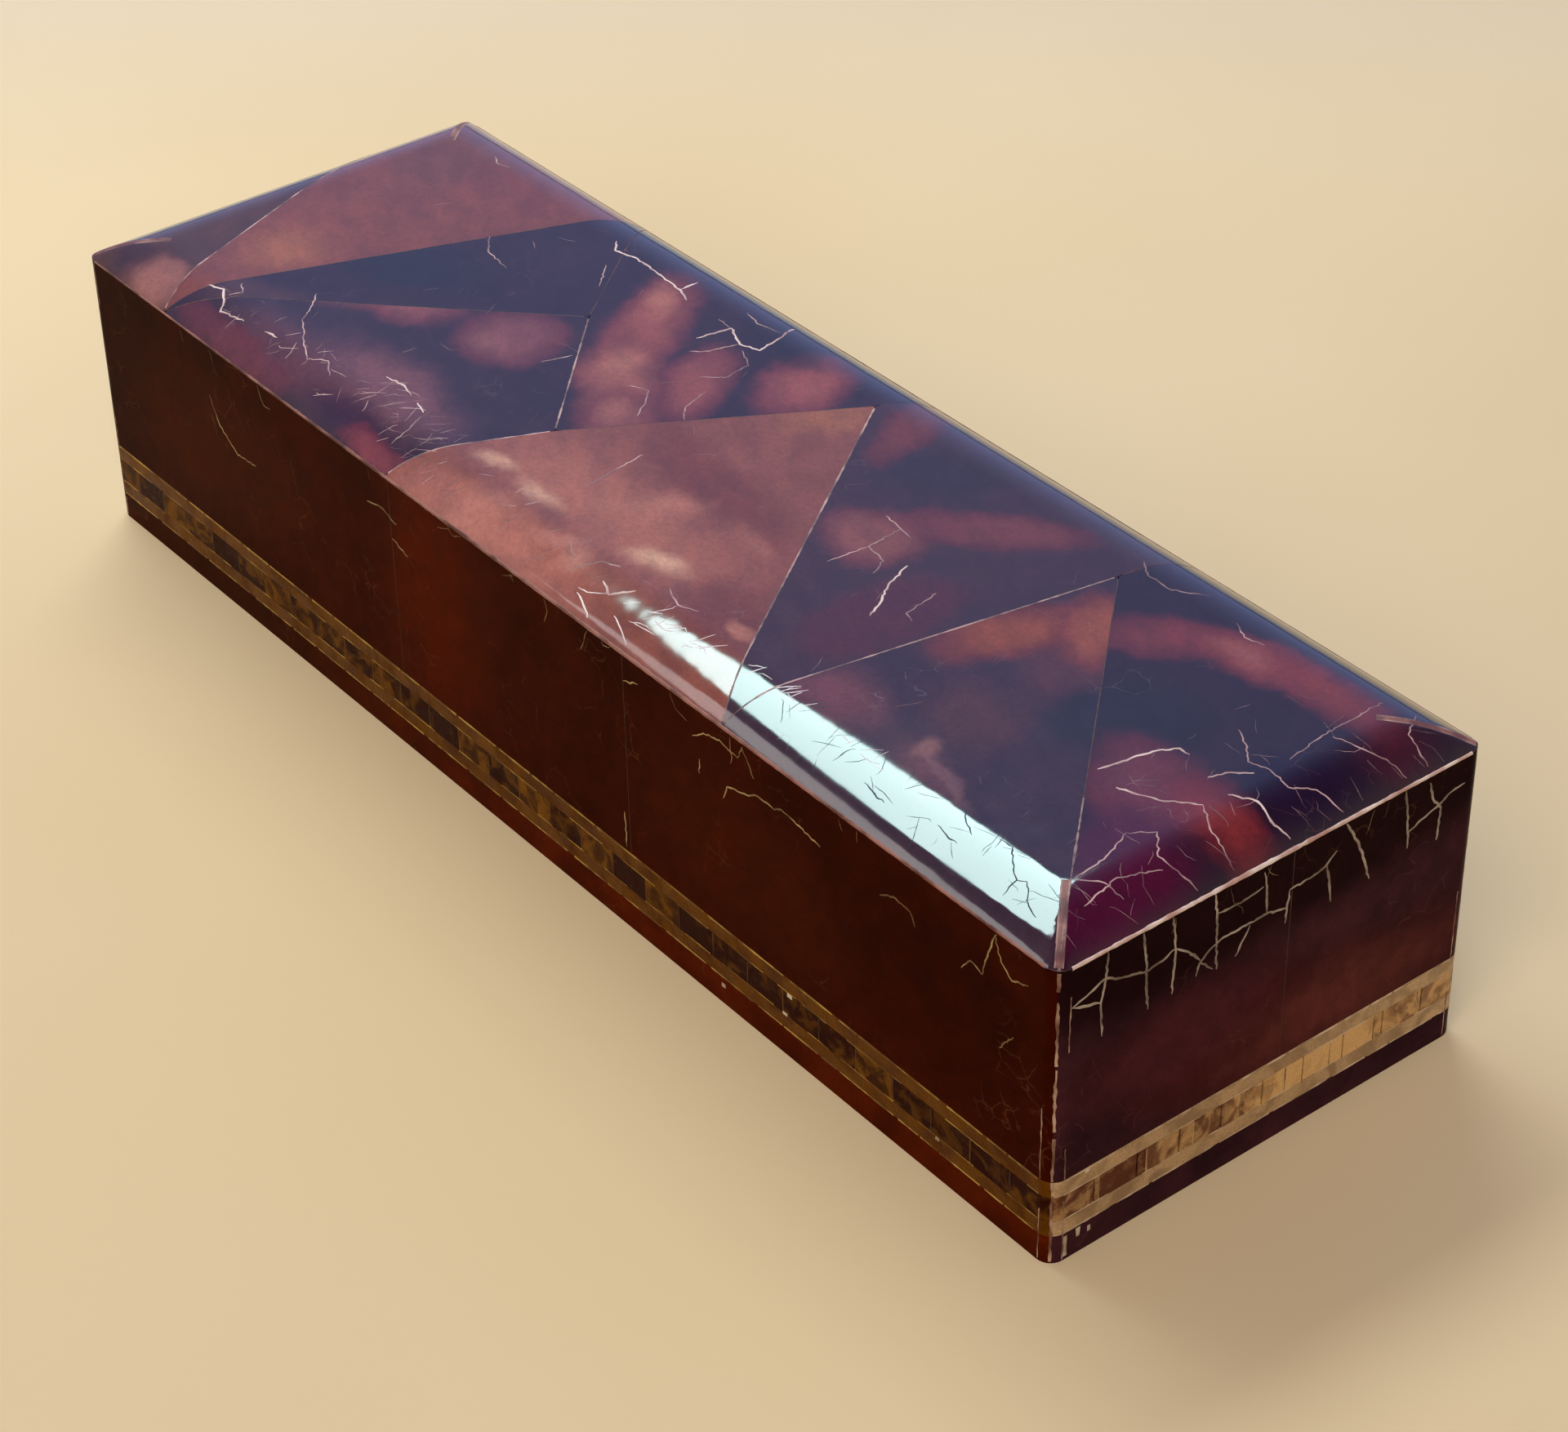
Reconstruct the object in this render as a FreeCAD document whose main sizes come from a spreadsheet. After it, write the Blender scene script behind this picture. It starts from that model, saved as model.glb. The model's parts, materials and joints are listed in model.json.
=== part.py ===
import FreeCAD, Part
import math
import os
import Sketcher

# A long shell-clad box with a pillow-topped hinged lid.
# X runs along the length, +Y to the hinged back and +Z up from the middle of the underside.

# Driving sizes in millimetres
SIZES = (
    ("box_length", 300, "outside, end to end"),
    ("box_width", 95, "outside, front to back"),
    ("arris_height", 61.8, "table to the sharp edge round the top"),
    ("top_rise", 4.7, "arris to the flat of the top"),
    ("bevel_inset", 13, "arris to where the rounded bevel ends"),
    ("corner_radius", 3, "worn upright corners"),
    ("shell_thickness", 2, "shell tiles and metal strips on the wooden core"),
    ("plinth_height", 6, "dark shell at the foot"),
    ("lower_strip_height", 3.1, "lower brass strip"),
    ("row_height", 5.4, "row of small shells"),
    ("upper_strip_height", 3.3, "upper brass strip, whose top is the rim"),
    ("base_wall_thickness", 6, "wooden wall of the base"),
    ("lip_clearance", 0.5, "liner to the lid's inner face"),
    ("lid_board_thickness", 6, "top board below the arris"),
    ("floor_thickness", 4, "floor board"),
    ("liner_thickness", 2, "liner strips inside the base"),
    ("liner_rise", 5, "liner above the rim"),
    ("felt_thickness", 0.8, "felt on the tray floor"),
    ("row_piece_length", 10, "nominal length of a small shell in the row"),
    ("row_joint_width", 0.4, "open joint between the small shells"),
    ("hinge_spacing", 170, "middle to middle of the two hinges"),
    ("leaf_length", 26, "hinge leaf along the back"),
    ("leaf_width", 6.6, "hinge leaf inwards from the back face"),
    ("leaf_thickness", 1, "hinge leaf"),
    ("leaf_recess", 0.05, "leaf below the face of its rim"),
    ("mortise_clearance", 0.1, "mortise round a leaf"),
    ("knuckle_radius", 1.9, "outside of a knuckle"),
    ("knuckle_gap", 0.25, "between neighbouring knuckles"),
    ("knuckle_setback", 0.4, "hinge axis behind the back face"),
    ("knuckle_clearance", 0.3, "knuckle to what it passes"),
    ("pin_radius", 0.8, "hinge pin"),
    ("pin_head_radius", 1.2, "head at each end of a pin"),
    ("pin_head_thickness", 0.6, "head at each end of a pin"),
    ("pin_seat_clearance", 0.02, "pin in the knuckles that hold it"),
    ("pin_running_clearance", 0.06, "pin in the knuckles that turn on it"),
    ("screw_spacing", 14, "screws along a leaf"),
    ("screw_inset", 4.2, "screws in from the back face"),
    ("screw_length", 4.5, "screw below its head"),
    ("screw_radius", 0.75, "screw shank"),
    ("screw_head_radius", 1.5, "flat screw head"),
    ("screw_head_height", 0.45, "flat screw head"),
    ("screw_clearance", 0.05, "screw in its holes"),
    ("cut_overrun", 5, "how far a cut runs past the face it opens"),
)

KNUCKLES_PER_HINGE = 5
SCREWS_PER_LEAF = 2
FEWEST_ROW_SHELLS = 2

# Corners of the top's tiles, as shares of the box's length and width from its middle
EDGE_SHARE = 0.5
SEAM_SHARES = {
    "front_left_corner": (-EDGE_SHARE, -EDGE_SHARE),
    "front_left": (-0.398, -EDGE_SHARE),
    "front_middle": (-0.13, -EDGE_SHARE),
    "front_right": (0.215, -EDGE_SHARE),
    "front_right_corner": (EDGE_SHARE, -EDGE_SHARE),
    "left_edge": (-EDGE_SHARE, 0.27),
    "inner_left": (-0.188, 0.132),
    "inner_front": (-0.085, -0.186),
    "inner_middle": (0.02, 0.36),
    "inner_right": (0.261, 0.318),
    "back_left_corner": (-EDGE_SHARE, EDGE_SHARE),
    "back_left": (-0.282, EDGE_SHARE),
    "back_middle": (0.032, EDGE_SHARE),
    "back_right": (0.27, EDGE_SHARE),
    "back_right_corner": (EDGE_SHARE, EDGE_SHARE),
}

# Shell tiles of the top, each by its corners
TOP_TILES = {
    "top_shell_left_corner": ("front_left_corner", "front_left", "left_edge"),
    "top_shell_left_end": ("front_left", "back_left", "back_left_corner", "left_edge"),
    "top_shell_left_dark": ("front_left", "inner_left", "back_left"),
    "top_shell_left_wedge": ("front_left", "front_middle", "inner_front", "inner_left"),
    "top_shell_left_back": ("inner_left", "inner_front", "inner_middle", "back_middle", "back_left"),
    "top_shell_middle": ("front_middle", "front_right", "inner_middle", "inner_front"),
    "top_shell_right_back": ("front_right", "inner_right", "back_right", "back_middle", "inner_middle"),
    "top_shell_right_front": ("front_right", "front_right_corner", "inner_right"),
    "top_shell_right_end": ("front_right_corner", "back_right_corner", "back_right", "inner_right"),
}

# Upright joints of the lid's side shells, as shares of the side's run from its middle
SIDE_SEAM_SHARES = {"front": (-0.127, 0.12), "right": (0.036,), "back": (-0.12, 0.127), "left": (-0.036,)}

# Each side of the box by its turn about Z from the front, its run and the distance across
LENGTH = "Sizes.box_length"
WIDTH = "Sizes.box_width"
SIDES = {
    "front": (0, LENGTH, WIDTH),
    "right": (90, WIDTH, LENGTH),
    "back": (180, LENGTH, WIDTH),
    "left": (270, WIDTH, LENGTH),
}

# Levels, from the table up
TABLE = "0"
STRIP_FOOT = "Sizes.plinth_height"
ROW_FOOT = f"({STRIP_FOOT} + Sizes.lower_strip_height)"
ROW_TOP = f"({ROW_FOOT} + Sizes.row_height)"
RIM = f"({ROW_TOP} + Sizes.upper_strip_height)"
FLOOR = "Sizes.floor_thickness"
ARRIS = "Sizes.arris_height"
BOARD_FOOT = f"({ARRIS} - Sizes.lid_board_thickness)"
TOP = f"({ARRIS} + Sizes.top_rise)"

# Overrun of every cut, and offsets in from the outside
OVERRUN = "Sizes.cut_overrun"
OUTSIDE = "0"
CORE = "Sizes.shell_thickness"
LID_WALL = "(Sizes.base_wall_thickness - Sizes.lip_clearance)"
LINER = f"({CORE} + Sizes.base_wall_thickness)"
TRAY = f"({LINER} + Sizes.liner_thickness)"

# Hinge places
BACK = f"({WIDTH} / 2)"
AXIS_Y = f"({BACK} + Sizes.knuckle_setback)"
SCREW_Y = f"({BACK} - Sizes.screw_inset)"
HINGE_MIDDLES = {"left": "(-Sizes.hinge_spacing / 2)", "right": "(Sizes.hinge_spacing / 2)"}
KNUCKLE_GAPS = f"({KNUCKLES_PER_HINGE - 1} * Sizes.knuckle_gap)"
KNUCKLE_LENGTH = f"((Sizes.leaf_length - {KNUCKLE_GAPS}) / {KNUCKLES_PER_HINGE})"
KNUCKLE_PITCH = f"({KNUCKLE_LENGTH} + Sizes.knuckle_gap)"

ALONG_X = FreeCAD.Rotation(FreeCAD.Vector(0, 1, 0), 90)
UPRIGHT = FreeCAD.Rotation()

doc = FreeCAD.newDocument("coconut_shell_box")
sheet = doc.addObject("Spreadsheet::Sheet", "Sizes")
for row, (alias, value, note) in enumerate(SIZES, start=1):
    sheet.set(f"A{row}", alias)
    sheet.set(f"B{row}", str(value))
    sheet.set(f"C{row}", note)
    sheet.setAlias(f"B{row}", alias)
doc.recompute()

pieces = {}


def size_of(expression):
    """The present value of an expression of the sheet."""
    return float(sheet.evalExpression(expression))


def bind(item, sizes):
    """Ties properties of an item to expressions of the sheet."""
    for name, expression in sizes.items():
        item.setExpression(name, expression)
    return item


def keep(name, item):
    """Names a finished piece of the box."""
    item.Label = name
    pieces[name] = item
    return item


def block(name, low, high):
    """A box between two corners."""
    item = doc.addObject("Part::Box", name)
    for side, corner, start, end in zip(("Length", "Width", "Height"), "xyz", low, high):
        bind(item, {side: f"{end} - ({start})", f"Placement.Base.{corner}": start})
    return item


def rod(name, radius, length, start, rotation):
    """A cylinder from a start point, along X or upright."""
    item = doc.addObject("Part::Cylinder", name)
    item.Placement = FreeCAD.Placement(FreeCAD.Vector(), rotation)
    bind(item, {"Radius": radius, "Height": length})
    return bind(item, {f"Placement.Base.{corner}": place for corner, place in zip("xyz", start)})


def joined(name, items):
    """Several solids fused into one."""
    item = doc.addObject("Part::MultiFuse", name)
    item.Shapes = items
    item.Refine = True
    return item


def grouped(name, items):
    """Several separate solids kept together."""
    item = doc.addObject("Part::Compound", name)
    item.Links = items
    return item


def shared(name, base, tool):
    """What two solids have in common."""
    item = doc.addObject("Part::Common", name)
    item.Base = base
    item.Tool = tool
    return item


def less(name, base, tool):
    """One solid with another cut out of it."""
    item = doc.addObject("Part::Cut", name)
    item.Base = base
    item.Tool = tool
    return item


def side_bar(name, side, inset, thickness, low, high, start=None, end=None):
    """A bar along one side of the box, mitred at an end that has no place of its own."""
    turn, run, across = SIDES[side]
    first, last = f"-{run} / 2 + {inset}", f"{run} / 2 - {inset}"
    bar = doc.addObject("Part::Wedge", name)
    bar.Placement = FreeCAD.Placement(FreeCAD.Vector(), FreeCAD.Rotation(FreeCAD.Vector(0, 0, 1), turn))
    bind(bar, {"Xmin": start or first, "X2min": start or f"{first} + {thickness}"})
    bind(bar, {"Xmax": end or last, "X2max": end or f"{last} - {thickness}"})
    bind(bar, {"Ymin": f"-{across} / 2 + {inset}", "Ymax": f"-{across} / 2 + {inset} + {thickness}"})
    return bind(bar, {"Zmin": low, "Z2min": low, "Zmax": high, "Z2max": high})


def sketch_on(body, role, name):
    """A sketch on one of the body's own origin planes."""
    sketch = body.newObject("Sketcher::SketchObject", name)
    plane = next(feature for feature in body.Origin.OriginFeatures if feature.Role == role)
    sketch.AttachmentSupport = [(plane, "")]
    sketch.MapMode = "FlatFace"
    return sketch


def point_at(place):
    """A sketch point at a place given by two expressions."""
    return FreeCAD.Vector(size_of(place[0]), size_of(place[1]), 0)


def close_outline(sketch, places):
    """Joins a sketch's curves end to end and holds the start of each at its place."""
    for index, place in enumerate(places):
        following = (index + 1) % len(places)
        sketch.addConstraint(Sketcher.Constraint("Coincident", index, 2, following, 1))
        for kind, expression in zip(("DistanceX", "DistanceY"), place):
            held = sketch.addConstraint(Sketcher.Constraint(kind, -1, 1, index, 1, size_of(expression)))
            sketch.setExpression(f"Constraints[{held}]", expression)


def prism(name, places, low, height):
    """An upright prism over a polygon in plan."""
    body = doc.addObject("PartDesign::Body", name)
    sketch = sketch_on(body, "XY_Plane", f"{name}_outline")
    for place, following in zip(places, places[1:] + places[:1]):
        sketch.addGeometry(Part.LineSegment(point_at(place), point_at(following)))
    close_outline(sketch, places)
    bind(sketch, {"AttachmentOffset.Base.z": low})
    pad = body.newObject("PartDesign::Pad", f"{name}_pad")
    pad.Profile = sketch
    bind(pad, {"Length": height})
    return body


def rolled_bar(name, role, across, run, depth):
    """A bar above the arris whose flat top rolls off in an arc along both of its long edges."""
    flat = f"({across} / 2 - Sizes.bevel_inset)"
    crown = f"({TOP} - {depth})"
    radius = f"((Sizes.bevel_inset ^ 2 + Sizes.top_rise ^ 2) / (2 * Sizes.top_rise) - {depth})"
    hub_level = f"({crown} - {radius})"
    foot = f"({flat} + sqrt({radius} ^ 2 - ({ARRIS} - {hub_level}) ^ 2))"
    places = [(f"-{foot}", ARRIS), (foot, ARRIS), (flat, crown), (f"-{flat}", crown)]
    body = doc.addObject("PartDesign::Body", name)
    sketch = sketch_on(body, role, f"{name}_profile")
    corners = [point_at(place) for place in places]
    rise = math.asin((size_of(ARRIS) - size_of(hub_level)) / size_of(radius))
    quarter = math.pi / 2
    right_hub = FreeCAD.Vector(size_of(flat), size_of(hub_level), 0)
    left_hub = FreeCAD.Vector(-size_of(flat), size_of(hub_level), 0)
    upward = FreeCAD.Vector(0, 0, 1)
    sketch.addGeometry(Part.LineSegment(corners[0], corners[1]))
    right_circle = Part.Circle(right_hub, upward, size_of(radius))
    left_circle = Part.Circle(left_hub, upward, size_of(radius))
    sketch.addGeometry(Part.ArcOfCircle(right_circle, rise, quarter))
    sketch.addGeometry(Part.LineSegment(corners[2], corners[3]))
    sketch.addGeometry(Part.ArcOfCircle(left_circle, quarter, math.pi - rise))
    close_outline(sketch, places)
    for arc in (1, 3):
        held = sketch.addConstraint(Sketcher.Constraint("Radius", arc, size_of(radius)))
        sketch.setExpression(f"Constraints[{held}]", radius)
    pad = body.newObject("PartDesign::Pad", f"{name}_pad")
    pad.Profile = sketch
    pad.SideType = "Symmetric"
    bind(pad, {"Length": run})
    return body


def pillow(name, depth):
    """The top above the arris, rolled off on all four sides with mitred hips, less a depth of shell."""
    lengthwise = rolled_bar(f"{name}_lengthwise", "YZ_Plane", WIDTH, LENGTH, depth)
    crosswise = rolled_bar(f"{name}_crosswise", "XZ_Plane", LENGTH, WIDTH, depth)
    return shared(name, lengthwise, crosswise)


def rounded_outside():
    """The whole outside of the box with its upright corners rounded."""
    edges = (("-", "-"), ("", "-"), ("", ""), ("-", ""))
    body = prism("outside", [(f"{x}{LENGTH} / 2", f"{y}{WIDTH} / 2") for x, y in edges], TABLE, TOP)
    doc.recompute()
    block_pad = body.Tip
    uprights = [
        f"Edge{index}"
        for index, edge in enumerate(block_pad.Shape.Edges, start=1)
        if edge.Vertexes[0].Z != edge.Vertexes[-1].Z
    ]
    rounding = body.newObject("PartDesign::Fillet", "outside_corners")
    rounding.Base = (block_pad, uprights)
    bind(rounding, {"Radius": "Sizes.corner_radius"})
    body.Tip = rounding
    return body


outside = rounded_outside()


def corner_bar(name, *bar):
    """A side bar whose mitred corners follow the rounded outside."""
    return shared(name, side_bar(f"{name}_bar", *bar), outside)


# Hinges


def barrel_start(hinge):
    """Where a hinge's barrel begins along X."""
    return f"({HINGE_MIDDLES[hinge]} - Sizes.leaf_length / 2)"


def barrel_rod(name, hinge, radius, before, length):
    """A rod on the hinge axis that starts a distance before the barrel."""
    return rod(name, radius, length, (f"{barrel_start(hinge)} - {before}", AXIS_Y, RIM), ALONG_X)


def knuckle_rods(name, hinge, first, radius, gap):
    """Every second knuckle of a barrel, each reaching a gap past its ends."""
    return [
        rod(
            f"{name}_{index}",
            radius,
            f"{KNUCKLE_LENGTH} + 2 * {gap}",
            (f"{barrel_start(hinge)} + {index} * {KNUCKLE_PITCH} - {gap}", AXIS_Y, RIM),
            ALONG_X,
        )
        for index in range(first, KNUCKLES_PER_HINGE, 2)
    ]


def leaf_levels(upper):
    """The outer and inner face of a leaf, from the rim into its own side of the box."""
    sign = "+" if upper else "-"
    outer = f"({RIM} {sign} Sizes.leaf_recess)"
    return outer, f"({outer} {sign} Sizes.leaf_thickness)"


def screw_rods(name, hinge, upper, radius, start, end):
    """One upright rod per screw of a leaf, between two depths in from the leaf's outer face."""
    outer = leaf_levels(upper)[0]
    foot = f"({outer} + {start})" if upper else f"({outer} - ({end}))"
    middle = (SCREWS_PER_LEAF - 1) / 2
    rods = []
    for index in range(SCREWS_PER_LEAF):
        along = f"{HINGE_MIDDLES[hinge]} + {index - middle} * Sizes.screw_spacing"
        rods.append(rod(f"{name}_{index}", radius, f"{end} - ({start})", (along, SCREW_Y, foot), UPRIGHT))
    return rods


HEAD_DEPTH = "Sizes.screw_head_height"
SCREW_END = f"({HEAD_DEPTH} + Sizes.screw_length)"
SCREW_HOLE = "(Sizes.screw_radius + Sizes.screw_clearance)"
HEAD_HOLE = "(Sizes.screw_head_radius + Sizes.screw_clearance)"
KNUCKLE_SWEEP = "(Sizes.knuckle_radius + Sizes.knuckle_clearance)"


def hinge_leaf(name, hinge, upper):
    """A leaf with its own knuckles, cleared round the other leaf's and drilled for pin and screws."""
    start = barrel_start(hinge)
    outer, inner = leaf_levels(upper)
    low, high = (outer, inner) if upper else (inner, outer)
    plate = block(
        f"{name}_plate",
        (start, f"{BACK} - Sizes.leaf_width", low),
        (f"({start} + Sizes.leaf_length)", AXIS_Y, high),
    )
    own, other = (1, 0) if upper else (0, 1)
    fit = "Sizes.pin_running_clearance" if upper else "Sizes.pin_seat_clearance"
    knuckles = knuckle_rods(f"{name}_knuckle", hinge, own, "Sizes.knuckle_radius", OUTSIDE)
    solid = joined(f"{name}_solid", [plate] + knuckles)
    through = f"Sizes.leaf_length + 2 * {OVERRUN}"
    bore = barrel_rod(f"{name}_bore", hinge, f"Sizes.pin_radius + {fit}", OVERRUN, through)
    room = knuckle_rods(f"{name}_room", hinge, other, KNUCKLE_SWEEP, "Sizes.knuckle_gap")
    holes = screw_rods(f"{name}_hole", hinge, upper, SCREW_HOLE, f"-{OVERRUN}", OVERRUN)
    seats = screw_rods(f"{name}_seat", hinge, upper, HEAD_HOLE, f"-{OVERRUN}", HEAD_DEPTH)
    return less(name, solid, joined(f"{name}_cuts", [bore] + room + holes + seats))


def hinge_screws(name, upper):
    """All the screws of the leaves on one side of the rim."""
    screws = []
    for hinge in HINGE_MIDDLES:
        stem = f"{name}_{hinge}"
        heads = screw_rods(f"{stem}_head", hinge, upper, "Sizes.screw_head_radius", OUTSIDE, HEAD_DEPTH)
        shanks = screw_rods(f"{stem}_shank", hinge, upper, "Sizes.screw_radius", HEAD_DEPTH, SCREW_END)
        screws += [joined(f"{stem}_{index}", list(pair)) for index, pair in enumerate(zip(heads, shanks))]
    return grouped(name, screws)


def hinge_pin(name, hinge):
    """A pin with a flat head at each end of the barrel."""
    head = "Sizes.pin_head_thickness"
    shank = barrel_rod(f"{name}_shank", hinge, "Sizes.pin_radius", head, f"Sizes.leaf_length + 2 * {head}")
    first = barrel_rod(f"{name}_first_head", hinge, "Sizes.pin_head_radius", head, head)
    last = barrel_rod(f"{name}_last_head", hinge, "Sizes.pin_head_radius", "(-Sizes.leaf_length)", head)
    return joined(name, [shank, first, last])


def hinge_room(name, upper):
    """What the hinges take out of one side of the rim: leaf mortises, knuckle grooves and screw holes."""
    cuts = []
    inner = leaf_levels(upper)[1]
    opening = f"({RIM} {'-' if upper else '+'} {OVERRUN})"
    low, high = (opening, inner) if upper else (inner, opening)
    play = "Sizes.mortise_clearance"
    ends = "(Sizes.pin_head_thickness + Sizes.knuckle_clearance)"
    groove_length = f"Sizes.leaf_length + 2 * {ends}"
    for hinge in HINGE_MIDDLES:
        stem = f"{name}_{hinge}"
        start = barrel_start(hinge)
        near = (f"({start} - {play})", f"{BACK} - Sizes.leaf_width - {play}", low)
        far = (f"({start} + Sizes.leaf_length + {play})", f"({BACK} + {OVERRUN})", high)
        cuts.append(block(f"{stem}_mortise", near, far))
        cuts.append(barrel_rod(f"{stem}_groove", hinge, KNUCKLE_SWEEP, ends, groove_length))
        cuts += screw_rods(f"{stem}_pilot", hinge, upper, SCREW_HOLE, OUTSIDE, SCREW_END)
    return joined(name, cuts)


lid_room = hinge_room("lid_hinge_room", True)
base_room = hinge_room("base_hinge_room", False)
for hinge in HINGE_MIDDLES:
    keep(f"lid_hinge_leaf_{hinge}", hinge_leaf(f"lid_hinge_leaf_{hinge}", hinge, True))
    keep(f"base_hinge_leaf_{hinge}", hinge_leaf(f"base_hinge_leaf_{hinge}", hinge, False))
    keep(f"hinge_pin_{hinge}", hinge_pin(f"hinge_pin_{hinge}", hinge))
keep("lid_hinge_screws", hinge_screws("lid_hinge_screws", True))
keep("base_hinge_screws", hinge_screws("base_hinge_screws", False))

# Top of the lid: a wooden board with a pillow-shaped upper face under the shell tiles

core_pillow = pillow("core_pillow", CORE)
board_low = (f"-{LENGTH} / 2 + {CORE}", f"-{WIDTH} / 2 + {CORE}", BOARD_FOOT)
board_high = (f"({LENGTH} / 2 - {CORE})", f"({WIDTH} / 2 - {CORE})", ARRIS)
board_slab = block("lid_top_board_slab", board_low, board_high)
keep("lid_top_board", joined("lid_top_board", [board_slab, core_pillow]))

rounded_pillow = shared("rounded_pillow", pillow("outer_pillow", OUTSIDE), outside)
top_shell = less("top_shell", rounded_pillow, core_pillow)


def seam_place(corner):
    """A tile corner in plan, carried past the box where it lies on an edge."""
    places = []
    for share, run in zip(SEAM_SHARES[corner], (LENGTH, WIDTH)):
        past = f" {'+' if share > 0 else '-'} {OVERRUN}" if abs(share) == EDGE_SHARE else ""
        places.append(f"({share} * {run}{past})")
    return tuple(places)


tile_foot = f"{ARRIS} - {OVERRUN}"
tile_height = f"Sizes.top_rise + 2 * {OVERRUN}"
for name, corners in TOP_TILES.items():
    places = [seam_place(corner) for corner in corners]
    outline = prism(f"{name}_outline", places, tile_foot, tile_height)
    keep(name, shared(name, top_shell, outline))

# Sides of the lid: wooden walls clad in shell panels


def lid_side(side):
    """One wall of the lid and its shell panels from joint to joint."""
    run = SIDES[side][1]
    wall = side_bar(f"lid_{side}_wall", side, CORE, LID_WALL, RIM, BOARD_FOOT)
    hinged = side == "back"
    keep(f"lid_{side}_wall", less(f"lid_{side}_wall_cut", wall, lid_room) if hinged else wall)
    seams = [None] + [f"({share} * {run})" for share in SIDE_SEAM_SHARES[side]] + [None]
    for number, (start, end) in enumerate(zip(seams, seams[1:]), start=1):
        name = f"lid_{side}_shell_{number}"
        panel = corner_bar(f"{name}_panel", side, OUTSIDE, CORE, RIM, ARRIS, start, end)
        keep(name, less(name, panel, lid_room) if hinged else panel)


for side in SIDES:
    lid_side(side)

# Base: floor board, wooden walls, liner, felt, and the banded cladding


def row_shells(side):
    """The small shells of the band along one side, with open joints between them."""
    run = SIDES[side][1]
    count = max(FEWEST_ROW_SHELLS, round(size_of(run) / size_of("Sizes.row_piece_length")))
    joints = [f"-{run} / 2 + {index} * {run} / {count}" for index in range(1, count)]
    starts = [None] + [f"({joint} + Sizes.row_joint_width / 2)" for joint in joints]
    ends = [f"({joint} - Sizes.row_joint_width / 2)" for joint in joints] + [None]
    shells = []
    for index, (start, end) in enumerate(zip(starts, ends)):
        make = side_bar if start and end else corner_bar
        bar = (side, OUTSIDE, CORE, ROW_FOOT, ROW_TOP, start, end)
        shells.append(make(f"row_shells_{side}_{index}", *bar))
    return grouped(f"row_shells_{side}", shells)


def base_side(side):
    """One wall of the base with its liner and cladding."""
    hinged = side == "back"
    wall = side_bar(f"base_{side}_wall", side, CORE, "Sizes.base_wall_thickness", TABLE, RIM)
    keep(f"base_{side}_wall", less(f"base_{side}_wall_cut", wall, base_room) if hinged else wall)
    liner_top = f"{RIM} + Sizes.liner_rise"
    liner = side_bar(f"liner_{side}", side, LINER, "Sizes.liner_thickness", FLOOR, liner_top)
    keep(f"liner_{side}", liner)
    keep(f"plinth_shell_{side}", corner_bar(f"plinth_shell_{side}", side, OUTSIDE, CORE, TABLE, STRIP_FOOT))
    keep(f"lower_strip_{side}", corner_bar(f"lower_strip_{side}", side, OUTSIDE, CORE, STRIP_FOOT, ROW_FOOT))
    keep(f"row_shells_{side}", row_shells(side))
    strip = corner_bar(f"upper_strip_{side}", side, OUTSIDE, CORE, ROW_TOP, RIM)
    keep(f"upper_strip_{side}", less(f"upper_strip_{side}_cut", strip, base_room) if hinged else strip)


for side in SIDES:
    base_side(side)

floor_low = (f"-{LENGTH} / 2 + {LINER}", f"-{WIDTH} / 2 + {LINER}", TABLE)
floor_high = (f"({LENGTH} / 2 - {LINER})", f"({WIDTH} / 2 - {LINER})", FLOOR)
keep("base_floor_board", block("base_floor_board", floor_low, floor_high))
felt_low = (f"-{LENGTH} / 2 + {TRAY}", f"-{WIDTH} / 2 + {TRAY}", FLOOR)
felt_high = (f"({LENGTH} / 2 - {TRAY})", f"({WIDTH} / 2 - {TRAY})", f"({FLOOR} + Sizes.felt_thickness)")
keep("base_felt", block("base_felt", felt_low, felt_high))

doc.recompute()

# Checks before anything is written
failed = [item.Name for item in doc.Objects if {"Invalid", "Error"} & set(item.State)]
shapes = {name: item.Shape for name, item in pieces.items()}
broken = [name for name, shape in shapes.items() if shape.isNull() or not shape.isValid() or not shape.Solids]
if failed or broken:
    raise RuntimeError(f"failed objects {failed}, broken pieces {broken}")

os.makedirs("parts", exist_ok=True)
for name, shape in shapes.items():
    shape.exportStep(f"parts/{name}.step")
print(len(shapes), "pieces,", sum(len(shape.Solids) for shape in shapes.values()), "solids")
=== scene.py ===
"""Dressed model of a shell-clad box with a hinged lid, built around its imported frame."""

import json
import logging
import math
import random
from dataclasses import dataclass
from enum import Enum
from typing import Callable, Sequence

import bpy
from mathutils import Matrix, Vector
from mathutils.geometry import delaunay_2d_cdt

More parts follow.
